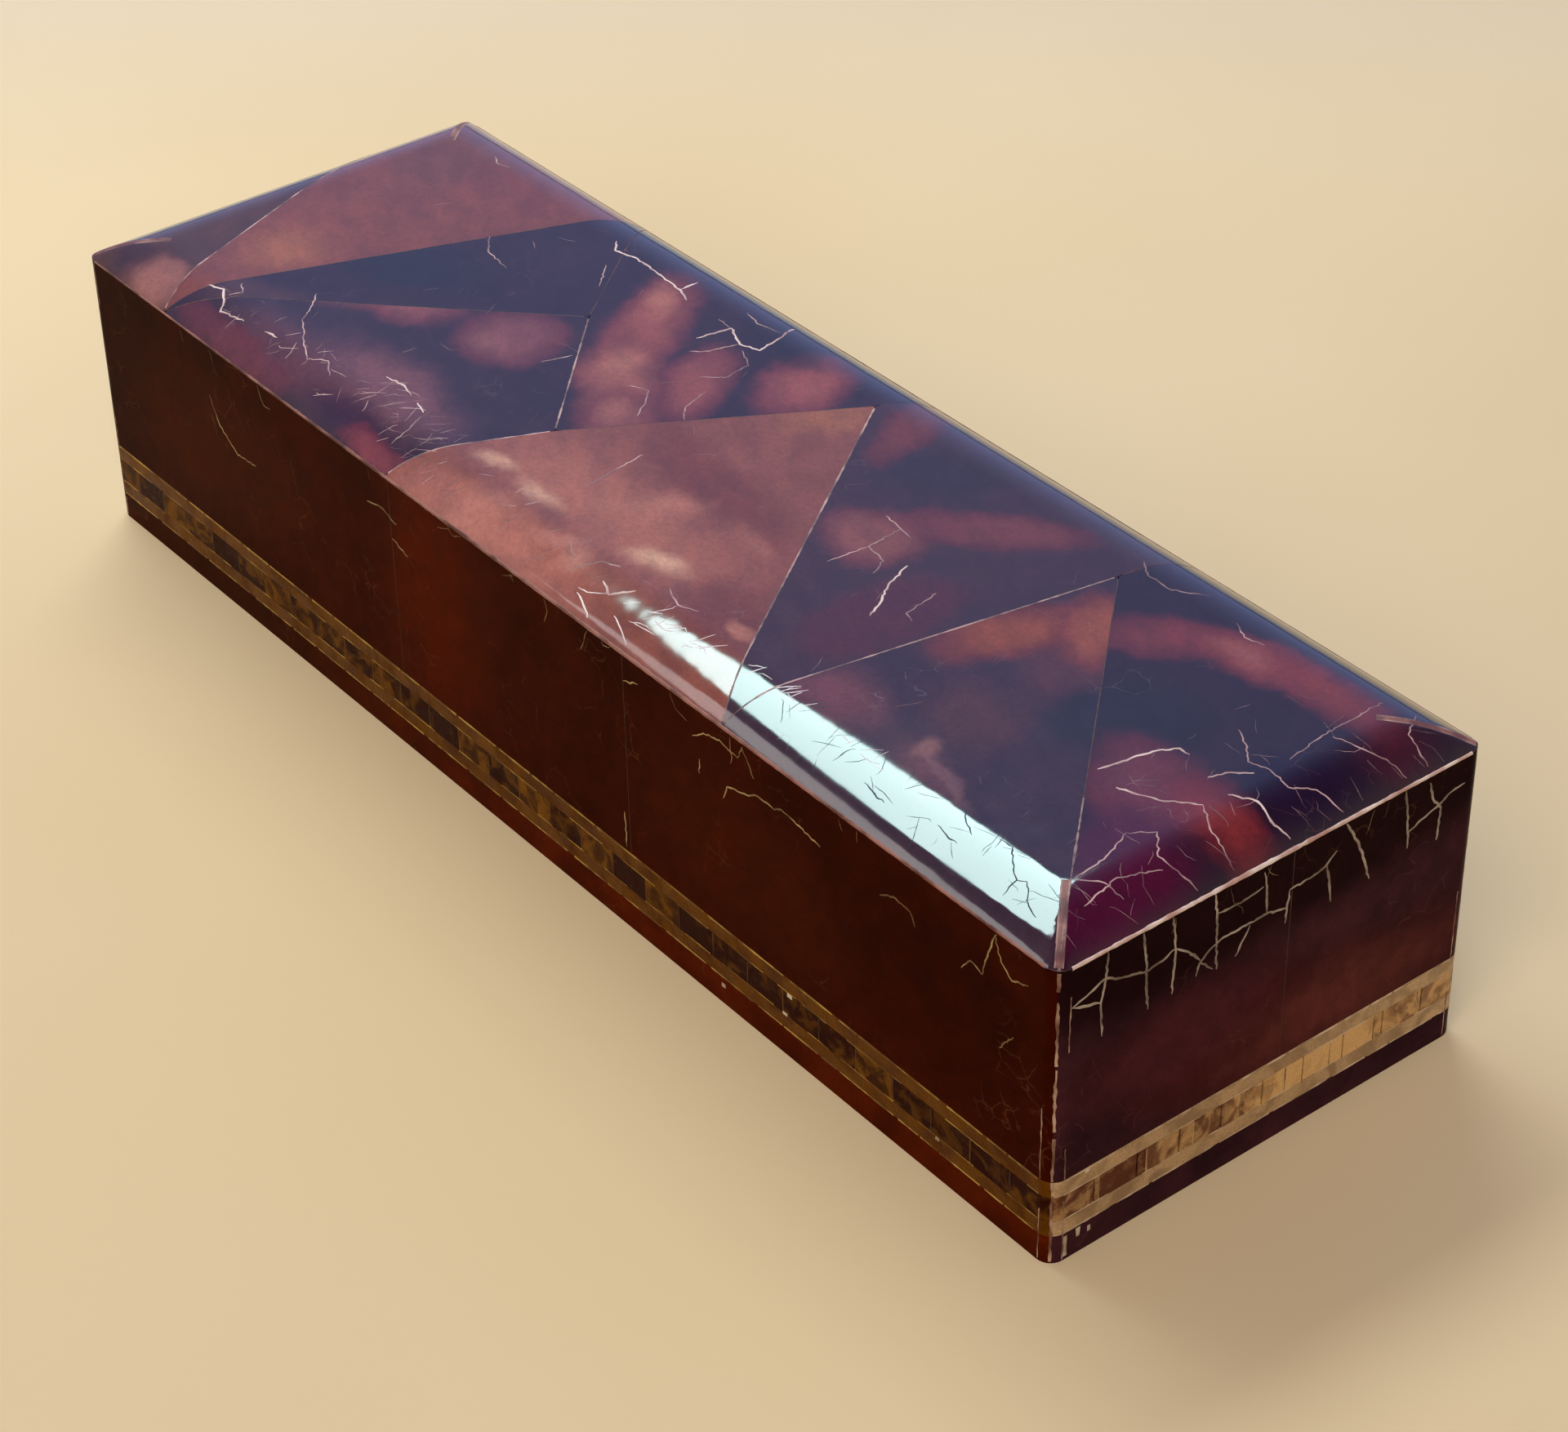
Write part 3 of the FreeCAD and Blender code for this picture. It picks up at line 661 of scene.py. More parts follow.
class Tree:
    """A Geometry Nodes tree with named inputs, run on one mesh and kept as a plain mesh."""

    def __init__(self, name: str, inputs: dict[str, str]) -> None:
        """Makes a tree that takes and gives geometry.

        Args:
            name: what the tree is called.
            inputs: each further input's name and socket type.
        """
        self.group = bpy.data.node_groups.new(name, "GeometryNodeTree")
        faces = self.group.interface
        faces.new_socket("Geometry", in_out="INPUT", socket_type="NodeSocketGeometry")
        self.keys = {}
        for label, kind in inputs.items():
            self.keys[label] = faces.new_socket(label, in_out="INPUT", socket_type=kind).identifier
        faces.new_socket("Geometry", in_out="OUTPUT", socket_type="NodeSocketGeometry")
        self.wiring = Wiring(self.group)
        self.given = self.wiring.add("NodeGroupInput").outputs
        self.end = self.wiring.add("NodeGroupOutput").inputs

    def close(self, geometry: Socket) -> None:
        """Ends the tree in real geometry with the given material."""
        real = self.wiring.add("GeometryNodeRealizeInstances", {0: geometry})
        feeds = {"Geometry": real.outputs[0], "Material": self.given["Material"]}
        self.wiring.feed(self.end[0], self.wiring.add("GeometryNodeSetMaterial", feeds).outputs[0])

    def run(self, name: str, mesh: Mesh, values: dict[str, object]) -> Piece:
        """Runs the tree on a mesh.

        Args:
            name: the finished piece's name.
            mesh: what the tree starts from.
            values: the inputs by name.

        Returns:
            A plain mesh object with no modifier.
        """
        piece = new_piece(name, mesh)
        modifier = piece.modifiers.new(self.group.name, "NODES")
        modifier.node_group = self.group
        for label, value in values.items():
            modifier[self.keys[label]] = value
        settled = bpy.context.evaluated_depsgraph_get()
        result = bpy.data.meshes.new_from_object(piece.evaluated_get(settled))
        piece.modifiers.remove(modifier)
        piece.data = result
        result.name = name
        return piece


def line_tree(form: LineForm) -> Tree:
    """Line work along edge paths: each point's own width scales a profile that faces out of the surface.

    Args:
        form: the kind of line.

    Returns:
        The tree.
    """
    round_rod = form is LineForm.ROD
    tree = Tree(form.value, {"Material": "NodeSocketMaterial"})
    wiring = tree.wiring
    curve = wiring.add("GeometryNodeMeshToCurve", {0: tree.given["Geometry"]})
    feeds = {"Curve": curve.outputs[0], "Normal": wiring.named("line_facing", "FLOAT_VECTOR")}
    faced = wiring.add("GeometryNodeSetCurveNormal", feeds, mode="FREE")
    if round_rod:
        profile = wiring.add("GeometryNodeCurvePrimitiveCircle", {"Resolution": ROD_SIDES, "Radius": 1.0})
    else:
        corners = {"Point 1": (RIBBON_CREST, -CREST_HALF, 0.0), "Point 2": (RIBBON_CREST, CREST_HALF, 0.0),
                   "Point 3": (RIBBON_ROOT, ROOT_HALF, 0.0), "Point 4": (RIBBON_ROOT, -ROOT_HALF, 0.0)}
        profile = wiring.add("GeometryNodeCurvePrimitiveQuadrilateral", corners, mode="POINTS")
    feeds = {"Curve": faced.outputs[0], "Profile Curve": profile.outputs[0],
             "Scale": wiring.named("line_width", "FLOAT"), "Fill Caps": True}
    lines = wiring.add("GeometryNodeCurveToMesh", feeds).outputs[0]
    tree.close(wiring.add("GeometryNodeSetShadeSmooth", {0: lines, "Shade Smooth": round_rod}).outputs[0])
    return tree


def pillow_tree() -> Tree:
    """Lifts a flat tile into the rolled top: level in the middle, an arc down to the arris."""
    lengths = ("Half Length", "Half Width", "Arris", "Rise", "Inset", "Radius", "Thickness", "Hip")
    kinds = {label: "NodeSocketFloat" for label in lengths}
    kinds["Material"] = "NodeSocketMaterial"
    tree = Tree("Pillow top", kinds)
    wiring, given = tree.wiring, tree.given
    place = wiring.add("GeometryNodeInputPosition").outputs[0]
    axes = wiring.add("ShaderNodeSeparateXYZ", {0: place}).outputs
    from_end = wiring.math("SUBTRACT", given["Half Length"], wiring.math("ABSOLUTE", axes[0]))
    from_side = wiring.math("SUBTRACT", given["Half Width"], wiring.math("ABSOLUTE", axes[1]))
    inward = wiring.math("SMOOTH_MIN", from_end, from_side, given["Hip"])
    fall = wiring.math("MAXIMUM", wiring.math("SUBTRACT", given["Inset"], inward), 0.0)
    fall = wiring.math("MINIMUM", fall, given["Inset"])
    radius_square, fall_square = (wiring.math("POWER", length, 2.0) for length in (given["Radius"], fall))
    square = wiring.math("SUBTRACT", radius_square, fall_square)
    drop = wiring.math("SUBTRACT", given["Radius"], wiring.math("SQRT", square))
    crown = wiring.math("ADD", given["Arris"], given["Rise"])
    upper = wiring.math("SUBTRACT", crown, drop)
    lower = wiring.math("MAXIMUM", wiring.math("SUBTRACT", upper, given["Thickness"]), given["Arris"])
    upper_share = wiring.named("upper_share", "FLOAT")
    rise = wiring.math("MULTIPLY", wiring.math("SUBTRACT", upper, lower), upper_share)
    level = wiring.math("ADD", wiring.math("ADD", lower, rise), axes[2])
    target = wiring.add("ShaderNodeCombineXYZ", {0: axes[0], 1: axes[1], 2: level}).outputs[0]
    moved = wiring.add("GeometryNodeSetPosition", {0: given["Geometry"], "Position": target})
    tree.close(moved.outputs[0])
    return tree


def screw_tree() -> Tree:
    """Slotted countersunk screws, one on each point."""
    kinds = {"Screw": "NodeSocketObject", "Material": "NodeSocketMaterial"}
    tree = Tree("Screws", kinds)
    wiring = tree.wiring
    screw = wiring.add("GeometryNodeObjectInfo", {"Object": tree.given["Screw"]})
    feeds = {"Points": tree.given["Geometry"], "Instance": screw.outputs["Geometry"],
             "Rotation": wiring.named("slot_turn", "FLOAT_VECTOR")}
    tree.close(wiring.add("GeometryNodeInstanceOnPoints", feeds).outputs[0])
    return tree


@dataclass(frozen=True)
class LinePath:
    """One line on a surface: its points, its width and the way it faces at each of them."""

    points: tuple[Vector, ...]
    widths: tuple[float, ...]
    facings: tuple[Vector, ...]


def ribbon(spots: Sequence[Plan], widths: Sequence[float], put: Put) -> LinePath:
    """A ribbon along spots of a surface.

    Args:
        spots: where it runs, in the surface's two coordinates.
        widths: half of what shows at each spot.
        put: gives the place of a spot at a depth under the surface.

    Returns:
        The ribbon's path.
    """
    points = tuple(put(a, b, 0.0) for a, b in spots)
    facings = tuple((point - put(a, b, FACING_DEPTH)).normalized() for (a, b), point in zip(spots, points))
    return LinePath(points, tuple(widths), facings)


def line_piece(tree: Tree, name: str, paths: Sequence[LinePath], finish: LineFinish,
               body: Body, slot: Slot) -> None:
    """Makes one piece of lines along many paths.

    Args:
        tree: the line work's tree.
        name: the piece's name.
        paths: where the lines run.
        finish: what they are finished in.
        body: what they ride on.
        slot: the slot they belong to; not used.
    """
    points, edges, widths, facings = [], [], [], []
    for path in paths:
        first = len(points)
        points += path.points
        widths += path.widths
        facings += path.facings
        edges += [(first + step, first + step + 1) for step in range(len(path.points) - 1)]
    mesh = bpy.data.meshes.new(name)
    mesh.from_pydata(points, edges, [])
    mesh.attributes.new("line_width", "FLOAT", "POINT").data.foreach_set("value", widths)
    flat = [part for facing in facings for part in facing]
    mesh.attributes.new("line_facing", "FLOAT_VECTOR", "POINT").data.foreach_set("vector", flat)
    declare(tree.run(name, mesh, {"Material": finish.material()}), body, slot)


@dataclass
class BoxFrame:
    """The box's main sizes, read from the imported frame."""

    half_length: float
    half_width: float
    arris: float
    crown: float
    rim: float
    corner: float = 3.0 * MM

    @classmethod
    def read(cls) -> "BoxFrame":
        """Takes the sizes from the nodes that carry them."""
        tile_low, tile_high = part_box("top_shell_middle")
        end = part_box("lid_right_shell_1")[1]
        return cls(end.x, -tile_low.y, tile_low.z, tile_high.z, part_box("lid_front_shell_1")[0].z)

    def wall(self, side: Side, along: float, level: float, depth: float) -> Vector:
        """A point on an upright face, or a little behind it."""
        if side is Side.FRONT:
            return Vector((along, depth - self.half_width, level))
        if side is Side.BACK:
            return Vector((along, self.half_width - depth, level))
        if side is Side.RIGHT:
            return Vector((self.half_length - depth, along, level))
        return Vector((depth - self.half_length, along, level))

    def placer(self, side: Side) -> Put:
        """Gives the function that places points on one upright face."""
        return lambda along, level, depth: self.wall(side, along, level, depth)


SEAM_SHARES = {
    "front_left_corner": (-0.5, -0.5),
    "front_right_corner": (0.5, -0.5),
    "back_left_corner": (-0.5, 0.5),
    "back_right_corner": (0.5, 0.5),
    "front_left": (-0.398, -0.5),
    "front_middle": (-0.13, -0.5),
    "front_right": (0.215, -0.5),
    "left_edge": (-0.5, 0.27),
    "inner_left": (-0.188, 0.132),
    "inner_front": (-0.085, -0.186),
    "inner_middle": (0.02, 0.36),
    "inner_right": (0.261, 0.318),
    "back_left": (-0.282, 0.5),
    "back_middle": (0.032, 0.5),
    "back_right": (0.27, 0.5),
}
TOP_TILES = {
    "left_corner": ("front_left_corner", "front_left", "left_edge"),
    "left_end": ("front_left", "back_left", "back_left_corner", "left_edge"),
    "left_dark": ("front_left", "inner_left", "back_left"),
    "left_wedge": ("front_left", "front_middle", "inner_front", "inner_left"),
    "left_back": ("inner_left", "inner_front", "inner_middle", "back_middle", "back_left"),
    "middle": ("front_middle", "front_right", "inner_middle", "inner_front"),
    "right_back": ("front_right", "inner_right", "back_right", "back_middle", "inner_middle"),
    "right_front": ("front_right", "front_right_corner", "inner_right"),
    "right_end": ("front_right_corner", "back_right_corner", "back_right", "inner_right"),
}
PALE_SEAMS = (
    ("inner_left", "inner_front"),
    ("front_right", "inner_middle"),
    ("front_right", "inner_right"),
    ("front_left", "left_edge"),
    ("front_middle", "inner_front"),
)

NIGHT = shade(42, 20, 34)
PLUM = shade(58, 34, 42)
TEAL = shade(26, 25, 36)
RUST = shade(112, 54, 46)
ROSE = shade(126, 74, 72)
PINK = shade(136, 82, 74)
PEACH = shade(172, 108, 86)
GLOW = shade(200, 142, 124)
# CREAM is the colour of the painted glints along the upper edge of the front bevel.
CREAM = shade(206, 158, 126)
CLARET = shade(74, 8, 42)
VIOLET = shade(26, 4, 34)
UMBER = shade(98, 58, 50)

TILE_FINISHES = {
    "left_corner": ShellFinish("shell_left_corner", shade(72, 40, 28), shade(88, 50, 36), (
        Cloud(shade(150, 96, 84), (-127, -43), (9, 5), 10, 0.85, fringe=0.2),
        Cloud(shade(52, 28, 36), (-139, -43), (6, 4), 0, 0.7, fringe=0.0),
    )),
    "left_end": ShellFinish("shell_left_end", shade(112, 56, 44), shade(134, 69, 52), (
        Cloud(shade(160, 94, 58), (-119, -19), (9, 9), 40, 0.75, 0.8, 0.1),
        Cloud(UMBER, (-132, 30), (12, 16), 20, 0.5, fringe=0.0),
        Cloud(RUST, (-108, 34), (14, 8), 10, 0.5, fringe=0.0),
    )),
    "left_dark": ShellFinish("shell_left_dark", NIGHT, PLUM, (
        Cloud(TEAL, (-98, -4), (16, 9), 22, 0.7, fringe=0.0),
        Cloud(UMBER, (-104, -36), (12, 8), 20, 0.4, fringe=0.0),
    ), dapple=0.35),
    "left_wedge": ShellFinish("shell_left_wedge", NIGHT, PLUM, (
        Cloud(shade(96, 54, 58), (-80, -39), (24, 7), -4, 0.75, 0.7, 0.0),
        Cloud(shade(120, 70, 72), (-58, -32), (20, 7), -4, 0.85, 0.7, 0.0),
        Cloud(ROSE, (-93, -18), (8, 4.5), 30, 0.6, 0.8),
        Cloud(shade(132, 72, 68), (-82, -11.5), (8, 5), 30, 0.9, 0.8),
        Cloud(shade(118, 66, 66), (-60, -4), (9, 9), 45, 0.95, 0.6),
        Cloud(PINK, (-62.5, -8), (4, 3), 30, 0.5, 0.9, 0.0),
        Cloud(shade(46, 16, 40), (-58, -43), (11, 4), 0, 0.7, fringe=0.0),
        Cloud(shade(124, 54, 56), (-46, -45), (9, 3), 0, 0.8),
        Cloud(shade(104, 44, 42), (-96, -45), (18, 3.5), 0, 0.6),
    )),
    "left_back": ShellFinish("shell_left_back", NIGHT, PLUM, (
        Cloud(shade(142, 74, 62), (-47, 21), (15, 6.5), -58, 0.95, 0.75),
        Cloud(shade(150, 86, 72), (-33, 2.5), (15, 7), -42, 0.95, 0.75),
        Cloud(shade(124, 68, 62), (-22, -5), (9, 6), -40, 0.85, 0.75),
        Cloud(PEACH, (-37, 6.7), (4.4, 3.4), -50, 0.6, 0.9, 0.0),
        Cloud(PEACH, (-24, -5), (4.4, 3), -40, 0.35, 0.9, 0.0),
        Cloud(PEACH, (-52, 28), (6, 3), -40, 0.6, 0.9, 0.0),
        Cloud(shade(136, 70, 62), (-22.5, 13.5), (12, 5.5), -52, 0.9, 0.75),
        Cloud(shade(144, 74, 66), (-8.5, 28.5), (10, 7), -65, 0.9, 0.75),
        Cloud(TEAL, (-20, 36), (9, 4), -10, 0.6, fringe=0.0),
    ), dapple=0.3),
    "middle": ShellFinish("shell_middle", shade(122, 66, 52), shade(140, 80, 62), (
        Cloud(shade(104, 46, 36), (8, -6), (26, 6), -8, 0.7, 0.7, 0.0),
        Cloud(shade(164, 98, 76), (2, -26), (34, 10), 0, 0.85, 0.7, 0.0),
        Cloud(shade(156, 96, 60), (4, 25), (5, 9), -20, 0.6, 0.7, 0.0),
        Cloud(PEACH, (9.6, -15.7), (6, 3), 20, 0.7, 0.8, 0.0),
        Cloud(PEACH, (6, -22), (8, 3), 30, 0.5, 0.9, 0.0),
        Cloud(PEACH, (29, -13), (6, 2.5), -5, 0.45, 0.9, 0.0),
        Cloud(GLOW, (-14, -43), (6, 4), 40, 0.6, 0.9, 0.0),
        Cloud(GLOW, (4, -39), (6, 2), 25, 0.5, 0.9, 0.0),
        Cloud(shade(98, 52, 48), (-22, -39), (7, 3), 10, 0.5, 0.9, 0.0),
        Cloud(shade(104, 52, 46), (-2, -37), (5, 2), -15, 0.5, 0.9, 0.0),
        # The three CREAM spots along the upper edge of the front bevel are painted glints: pale streaks of
        # reflected light painted into the shell.
        Cloud(CREAM, (-23.5, -32), (4.4, 2), 20, 0.75, 0.9, 0.0),
        Cloud(CREAM, (-9.6, -32.6), (5, 2.2), -10, 0.7, 0.9, 0.0),
        Cloud(CREAM, (22.5, -29.8), (6, 2.6), 15, 0.9, 0.8, 0.0),
        Cloud(GLOW, (12, -40), (3, 3), 10, 0.6, 0.8, 0.0),
        Cloud(shade(106, 50, 40), (44, -30), (12, 9), 0, 0.75, 0.6, 0.0),
        Cloud(PEACH, (50, -30.6), (3.4, 2), 0, 0.8, 0.5, 0.0),
        Cloud(shade(172, 108, 92), (-8, -44), (28, 6), 0, 0.8, 0.7, 0.0),
    )),
    "right_back": ShellFinish("shell_right_back", PLUM, shade(70, 42, 44), (
        Cloud(shade(40, 30, 40), (30, 27), (15, 9), 30, 0.7, fringe=0.0),
        Cloud(shade(110, 54, 50), (53, 23), (15, 5), 40, 0.8),
        Cloud(shade(130, 74, 66), (41, 5.5), (9, 7.5), 10, 0.85),
        Cloud(RUST, (16, 34), (5, 12), 20, 0.7),
        Cloud(shade(80, 34, 42), (62, -10), (8, 14), 0, 0.5),
    ), dapple=0.4),
    "right_front": ShellFinish("shell_right_front", shade(50, 30, 42), shade(64, 42, 48), (
        Cloud(shade(84, 40, 46), (95, 2), (10, 7), -20, 0.7, fringe=0.0),
        Cloud(shade(90, 48, 48), (94, -17), (11, 8), -20, 0.6, fringe=0.0),
        Cloud(TEAL, (107, -3), (9, 7), -35, 0.8, fringe=0.0),
        Cloud(shade(138, 68, 38), (79, 3.5), (6, 11), -10, 0.95, 0.7),
        Cloud(shade(142, 72, 46), (88.5, 16), (9, 6), -48, 0.95, 0.7),
        Cloud(shade(116, 62, 64), (75, -31), (10, 7), 0, 0.8, 0.7, 0.0),
        Cloud(shade(104, 60, 62), (99, -33), (9, 4), -14, 0.75, 0.8, 0.0),
        # These two pale clouds along the upper edge of the front bevel are a painted glint: a streak of
        # reflected light painted into the shell.
        Cloud(shade(140, 94, 84), (96, -29), (2, 3), 20, 0.7, 0.6, 0.0),
        Cloud(shade(126, 86, 86), (104, -31.6), (8, 1.2), -14, 0.6, 0.7, 0.0),
    )),
    "right_end": ShellFinish("shell_right_end", shade(38, 16, 30), NIGHT, (
        Cloud(TEAL, (112, 4), (11, 9), 20, 0.7, fringe=0.0),
        Cloud(shade(112, 46, 42), (98, 24), (10, 5.5), 42, 0.9, 0.75),
        Cloud(shade(130, 58, 50), (112, 31), (14, 5), 16, 0.9, 0.75),
        Cloud(shade(156, 88, 76), (110, 31), (6, 2.4), 20, 0.5, 0.9, 0.0),
        Cloud(shade(124, 52, 46), (128, 33.5), (12, 4.5), -4, 0.8, 0.75),
        Cloud(shade(100, 42, 52), (127, -8), (11, 8), -20, 0.9, 0.7),
        Cloud(CLARET, (137, -21), (10, 10), 0, 0.9, fringe=0.0),
        Cloud(CLARET, (144, -34), (8, 15), 0, 0.9, fringe=0.0),
        Cloud(VIOLET, (141, 12), (8, 11), 0, 0.9, fringe=0.0),
        Cloud(shade(128, 44, 42), (140, -4), (9, 5), -10, 0.85, 0.8),
        Cloud(shade(76, 14, 30), (145, 31), (5, 7), 0, 0.5, fringe=0.0),
    ), dapple=0.35),
}


@dataclass
class PillowTop:
    """The nine fitted shell tiles of the rolled top, and the way its surface runs."""

    box: BoxFrame
    inset: float = 13.0 * MM
    joint: float = 0.16 * MM
    cell: float = 1.25 * MM
    thickness: float = 1.9 * MM
    bed: float = 0.02 * MM
    clear_share: float = 0.55
    weld: float = 0.001 * MM
    hip: float = 2.4 * MM
    slope_step: float = 0.05 * MM

    def __post_init__(self) -> None:
        """Works out the arc that falls from the level middle to the arris."""
        self.rise = self.box.crown - self.box.arris
        self.radius = (self.inset ** 2 + self.rise ** 2) / (2.0 * self.rise)

    def height(self, across: float, along: float) -> float:
        """The surface's level at a point of the plan."""
        from_end = self.box.half_length - abs(across)
        from_side = self.box.half_width - abs(along)
        # The same smooth minimum as the math node that lifts the tiles.
        blend = max(self.hip - abs(from_end - from_side), 0.0) / self.hip
        inward = min(from_end, from_side) - blend ** 3 * self.hip / 6.0
        fall = min(max(self.inset - inward, 0.0), self.inset)
        return self.box.crown - self.radius + math.sqrt(self.radius ** 2 - fall ** 2)

    def normal(self, across: float, along: float) -> Vector:
        """The way the surface faces at a point of the plan."""
        step = self.slope_step
        def span(spot: float, half: float) -> tuple[float, float]:
            """A short stretch round a spot that stays on the top."""
            return max(spot - step, -half), min(spot + step, half)
        left, right = span(across, self.box.half_length)
        front, back = span(along, self.box.half_width)
        slope_x = (self.height(right, along) - self.height(left, along)) / (right - left)
        slope_y = (self.height(across, back) - self.height(across, front)) / (back - front)
        return Vector((-slope_x, -slope_y, 1.0)).normalized()

    def place(self, across: float, along: float, depth: float) -> Vector:
        """A point a given depth under the surface."""
        return Vector((across, along, self.height(across, along))) - self.normal(across, along) * depth

    def corner_point(self, name: str) -> Vector:
        """A named joint of the tiles in plan."""
        across, along = SEAM_SHARES[name]
        return Vector((across * 2.0 * self.box.half_length, along * 2.0 * self.box.half_width))

    def on_edge(self, first: str, second: str) -> bool:
        """Whether the line between two joints is an edge of the box."""
        start, end = SEAM_SHARES[first], SEAM_SHARES[second]
        return any(start[axis] == end[axis] and abs(start[axis]) == 0.5 for axis in (0, 1))

    def outline(self, names: Sequence[str]) -> list[Vector]:
        """A tile's plan corners, drawn in from its neighbours by half a joint.

        Args:
            names: the tile's joints in order.

        Returns:
            The drawn-in corners in the same order.
        """
        corners = [self.corner_point(name) for name in names]
        count = len(corners)
        area = sum(corners[i - 1].cross(corners[i]) for i in range(count))
        turn = 1.0 if area > 0.0 else -1.0
        lines = []
        for i in range(count):
            start, end = corners[i], corners[(i + 1) % count]
            way = (end - start).normalized()
            inner = Vector((-way.y, way.x)) * turn
            gap = 0.0 if self.on_edge(names[i], names[(i + 1) % count]) else self.joint / 2.0
            lines.append((start + inner * gap, way))
        drawn = []
        for i in range(count):
            start, way = lines[i - 1]
            other, other_way = lines[i]
            along = (other - start).cross(other_way) / way.cross(other_way)
            drawn.append(start + way * along)
        return drawn

    def rounded(self, point: Vector) -> Vector:
        """Pulls a point at a corner of the box in to the corner's round."""
        centre = Vector((math.copysign(self.box.half_length - self.box.corner, point.x),
                         math.copysign(self.box.half_width - self.box.corner, point.y)))
        out = point - centre
        outside = out.x * centre.x > 0.0 and out.y * centre.y > 0.0
        if outside and out.length > self.box.corner:
            return centre + out.normalized() * self.box.corner
        return point

    def flat_tile(self, names: Sequence[str]) -> tuple[list[Vector], list[tuple[int, ...]]]:
        """Triangulates a tile's plan on a fine grid.

        Args:
            names: the tile's joints in order.

        Returns:
            The plan points and the triangles.
        """
        corners = self.outline(names)
        border = []
        for i, start in enumerate(corners):
            run = corners[(i + 1) % len(corners)] - start
            steps = max(int(run.length / self.cell), 1)
            border += [self.rounded(start + run * (step / steps)) for step in range(steps)]
        low_x, high_x = min(p.x for p in border), max(p.x for p in border)
        low_y, high_y = min(p.y for p in border), max(p.y for p in border)
        inner = []
        for row in range(int((high_y - low_y) / self.cell) + 1):
            shift = 0.5 * self.cell * (row % 2)
            for column in range(int((high_x - low_x) / self.cell) + 1):
                point = Vector((low_x + shift + column * self.cell, low_y + (row + 0.5) * self.cell))
                if self.well_inside(point, border):
                    inner.append(point)
        count = len(border)
        rim = [(i, (i + 1) % count) for i in range(count)]
        found = delaunay_2d_cdt(border + inner, rim, [], 1, self.weld)
        return found[0], found[2]

    def well_inside(self, point: Vector, border: Sequence[Vector]) -> bool:
        """Whether a point lies inside an outline and not too near it."""
        inside = False
        near = (self.clear_share * self.cell) ** 2
        for i, end in enumerate(border):
            start = border[i - 1]
            run, out = end - start, point - start
            share = min(max(out.dot(run) / run.length_squared, 0.0), 1.0)
            if (out - run * share).length_squared < near:
                return False
            if (start.y > point.y) != (end.y > point.y):
                if point.x < start.x + run.x * (point.y - start.y) / run.y:
                    inside = not inside
        return inside

    def tile_mesh(self, name: str, names: Sequence[str]) -> Mesh:
        """A closed flat tile whose upper and lower faces share one outline.

        Args:
            name: the mesh's name.
            names: the tile's joints in order.

        Returns:
            The mesh, with the upper layer marked.
        """
        points, triangles = self.flat_tile(names)
        count = len(points)
        places = [(p.x, p.y, level) for level in (0.0, -self.bed) for p in points]
        upward = []
        for triangle in triangles:
            first, second, third = (points[i] for i in triangle)
            up = (second - first).cross(third - first) > 0.0
            upward.append(tuple(triangle) if up else tuple(reversed(triangle)))
        used = {(t[i], t[(i + 1) % 3]): True for t in upward for i in range(3)}
        rims = [pair for pair in used if (pair[1], pair[0]) not in used]
        faces = upward + [tuple(i + count for i in reversed(t)) for t in upward]
        faces += [(end, start, start + count, end + count) for start, end in rims]
        mesh = bpy.data.meshes.new(name)
        mesh.from_pydata(places, [], faces)
        shares = [1.0] * count + [0.0] * count
        mesh.attributes.new("upper_share", "FLOAT", "POINT").data.foreach_set("value", shares)
        return mesh

    def polish(self, mesh: Mesh) -> None:
        """Sets the upper faces' normals to the true surface, so reflections run clean across joints."""
        shares = [0.0] * len(mesh.vertices)
        mesh.attributes["upper_share"].data.foreach_get("value", shares)
        normals = []
        for polygon in mesh.polygons:
            polygon.use_smooth = True
            upper = all(shares[i] > 0.5 for i in polygon.vertices)
            for i in polygon.vertices:
                spot = mesh.vertices[i].co
                normals.append(self.normal(spot.x, spot.y) if upper else polygon.normal)
        mesh.normals_split_custom_set(normals)

    def build(self) -> None:
        """Makes and dresses the nine tiles."""
        tree = pillow_tree()
        for tile, names in TOP_TILES.items():
            node = f"top_shell_{tile}"
            values = {"Half Length": self.box.half_length, "Half Width": self.box.half_width,
                      "Arris": self.box.arris, "Rise": self.rise, "Inset": self.inset,
                      "Radius": self.radius, "Thickness": self.thickness, "Hip": self.hip,
                      "Material": TILE_FINISHES[tile].material()}
            piece = tree.run(f"polished_{tile}", self.tile_mesh(node, names), values)
            self.polish(piece.data)
            declare(piece, Body.LID, Slot.TOP, node)


PALE_LINE = LineFinish("pale_seam", shade(190, 154, 146), shade(96, 66, 68))
DIM_LINE = LineFinish("dim_seam", shade(96, 62, 58), shade(56, 36, 40))
# Cream cracks, and the painted glints that are drawn like them.
CRACK_AND_GLINT_LINE = LineFinish("cream_crack_and_glint", shade(228, 202, 192), shade(172, 132, 128))
THIN_LINE = LineFinish("thin_crack", shade(200, 162, 156), shade(126, 90, 92))
FAINT_LINE = LineFinish("faint_crack", shade(156, 118, 116), shade(88, 60, 66))
# Cracks painted near white along the edge of the reflected window: painted glints of light on flaked lacquer.
GLINT_CRACK_LINE = LineFinish("painted_glint_crack", shade(240, 232, 228), shade(206, 186, 184))
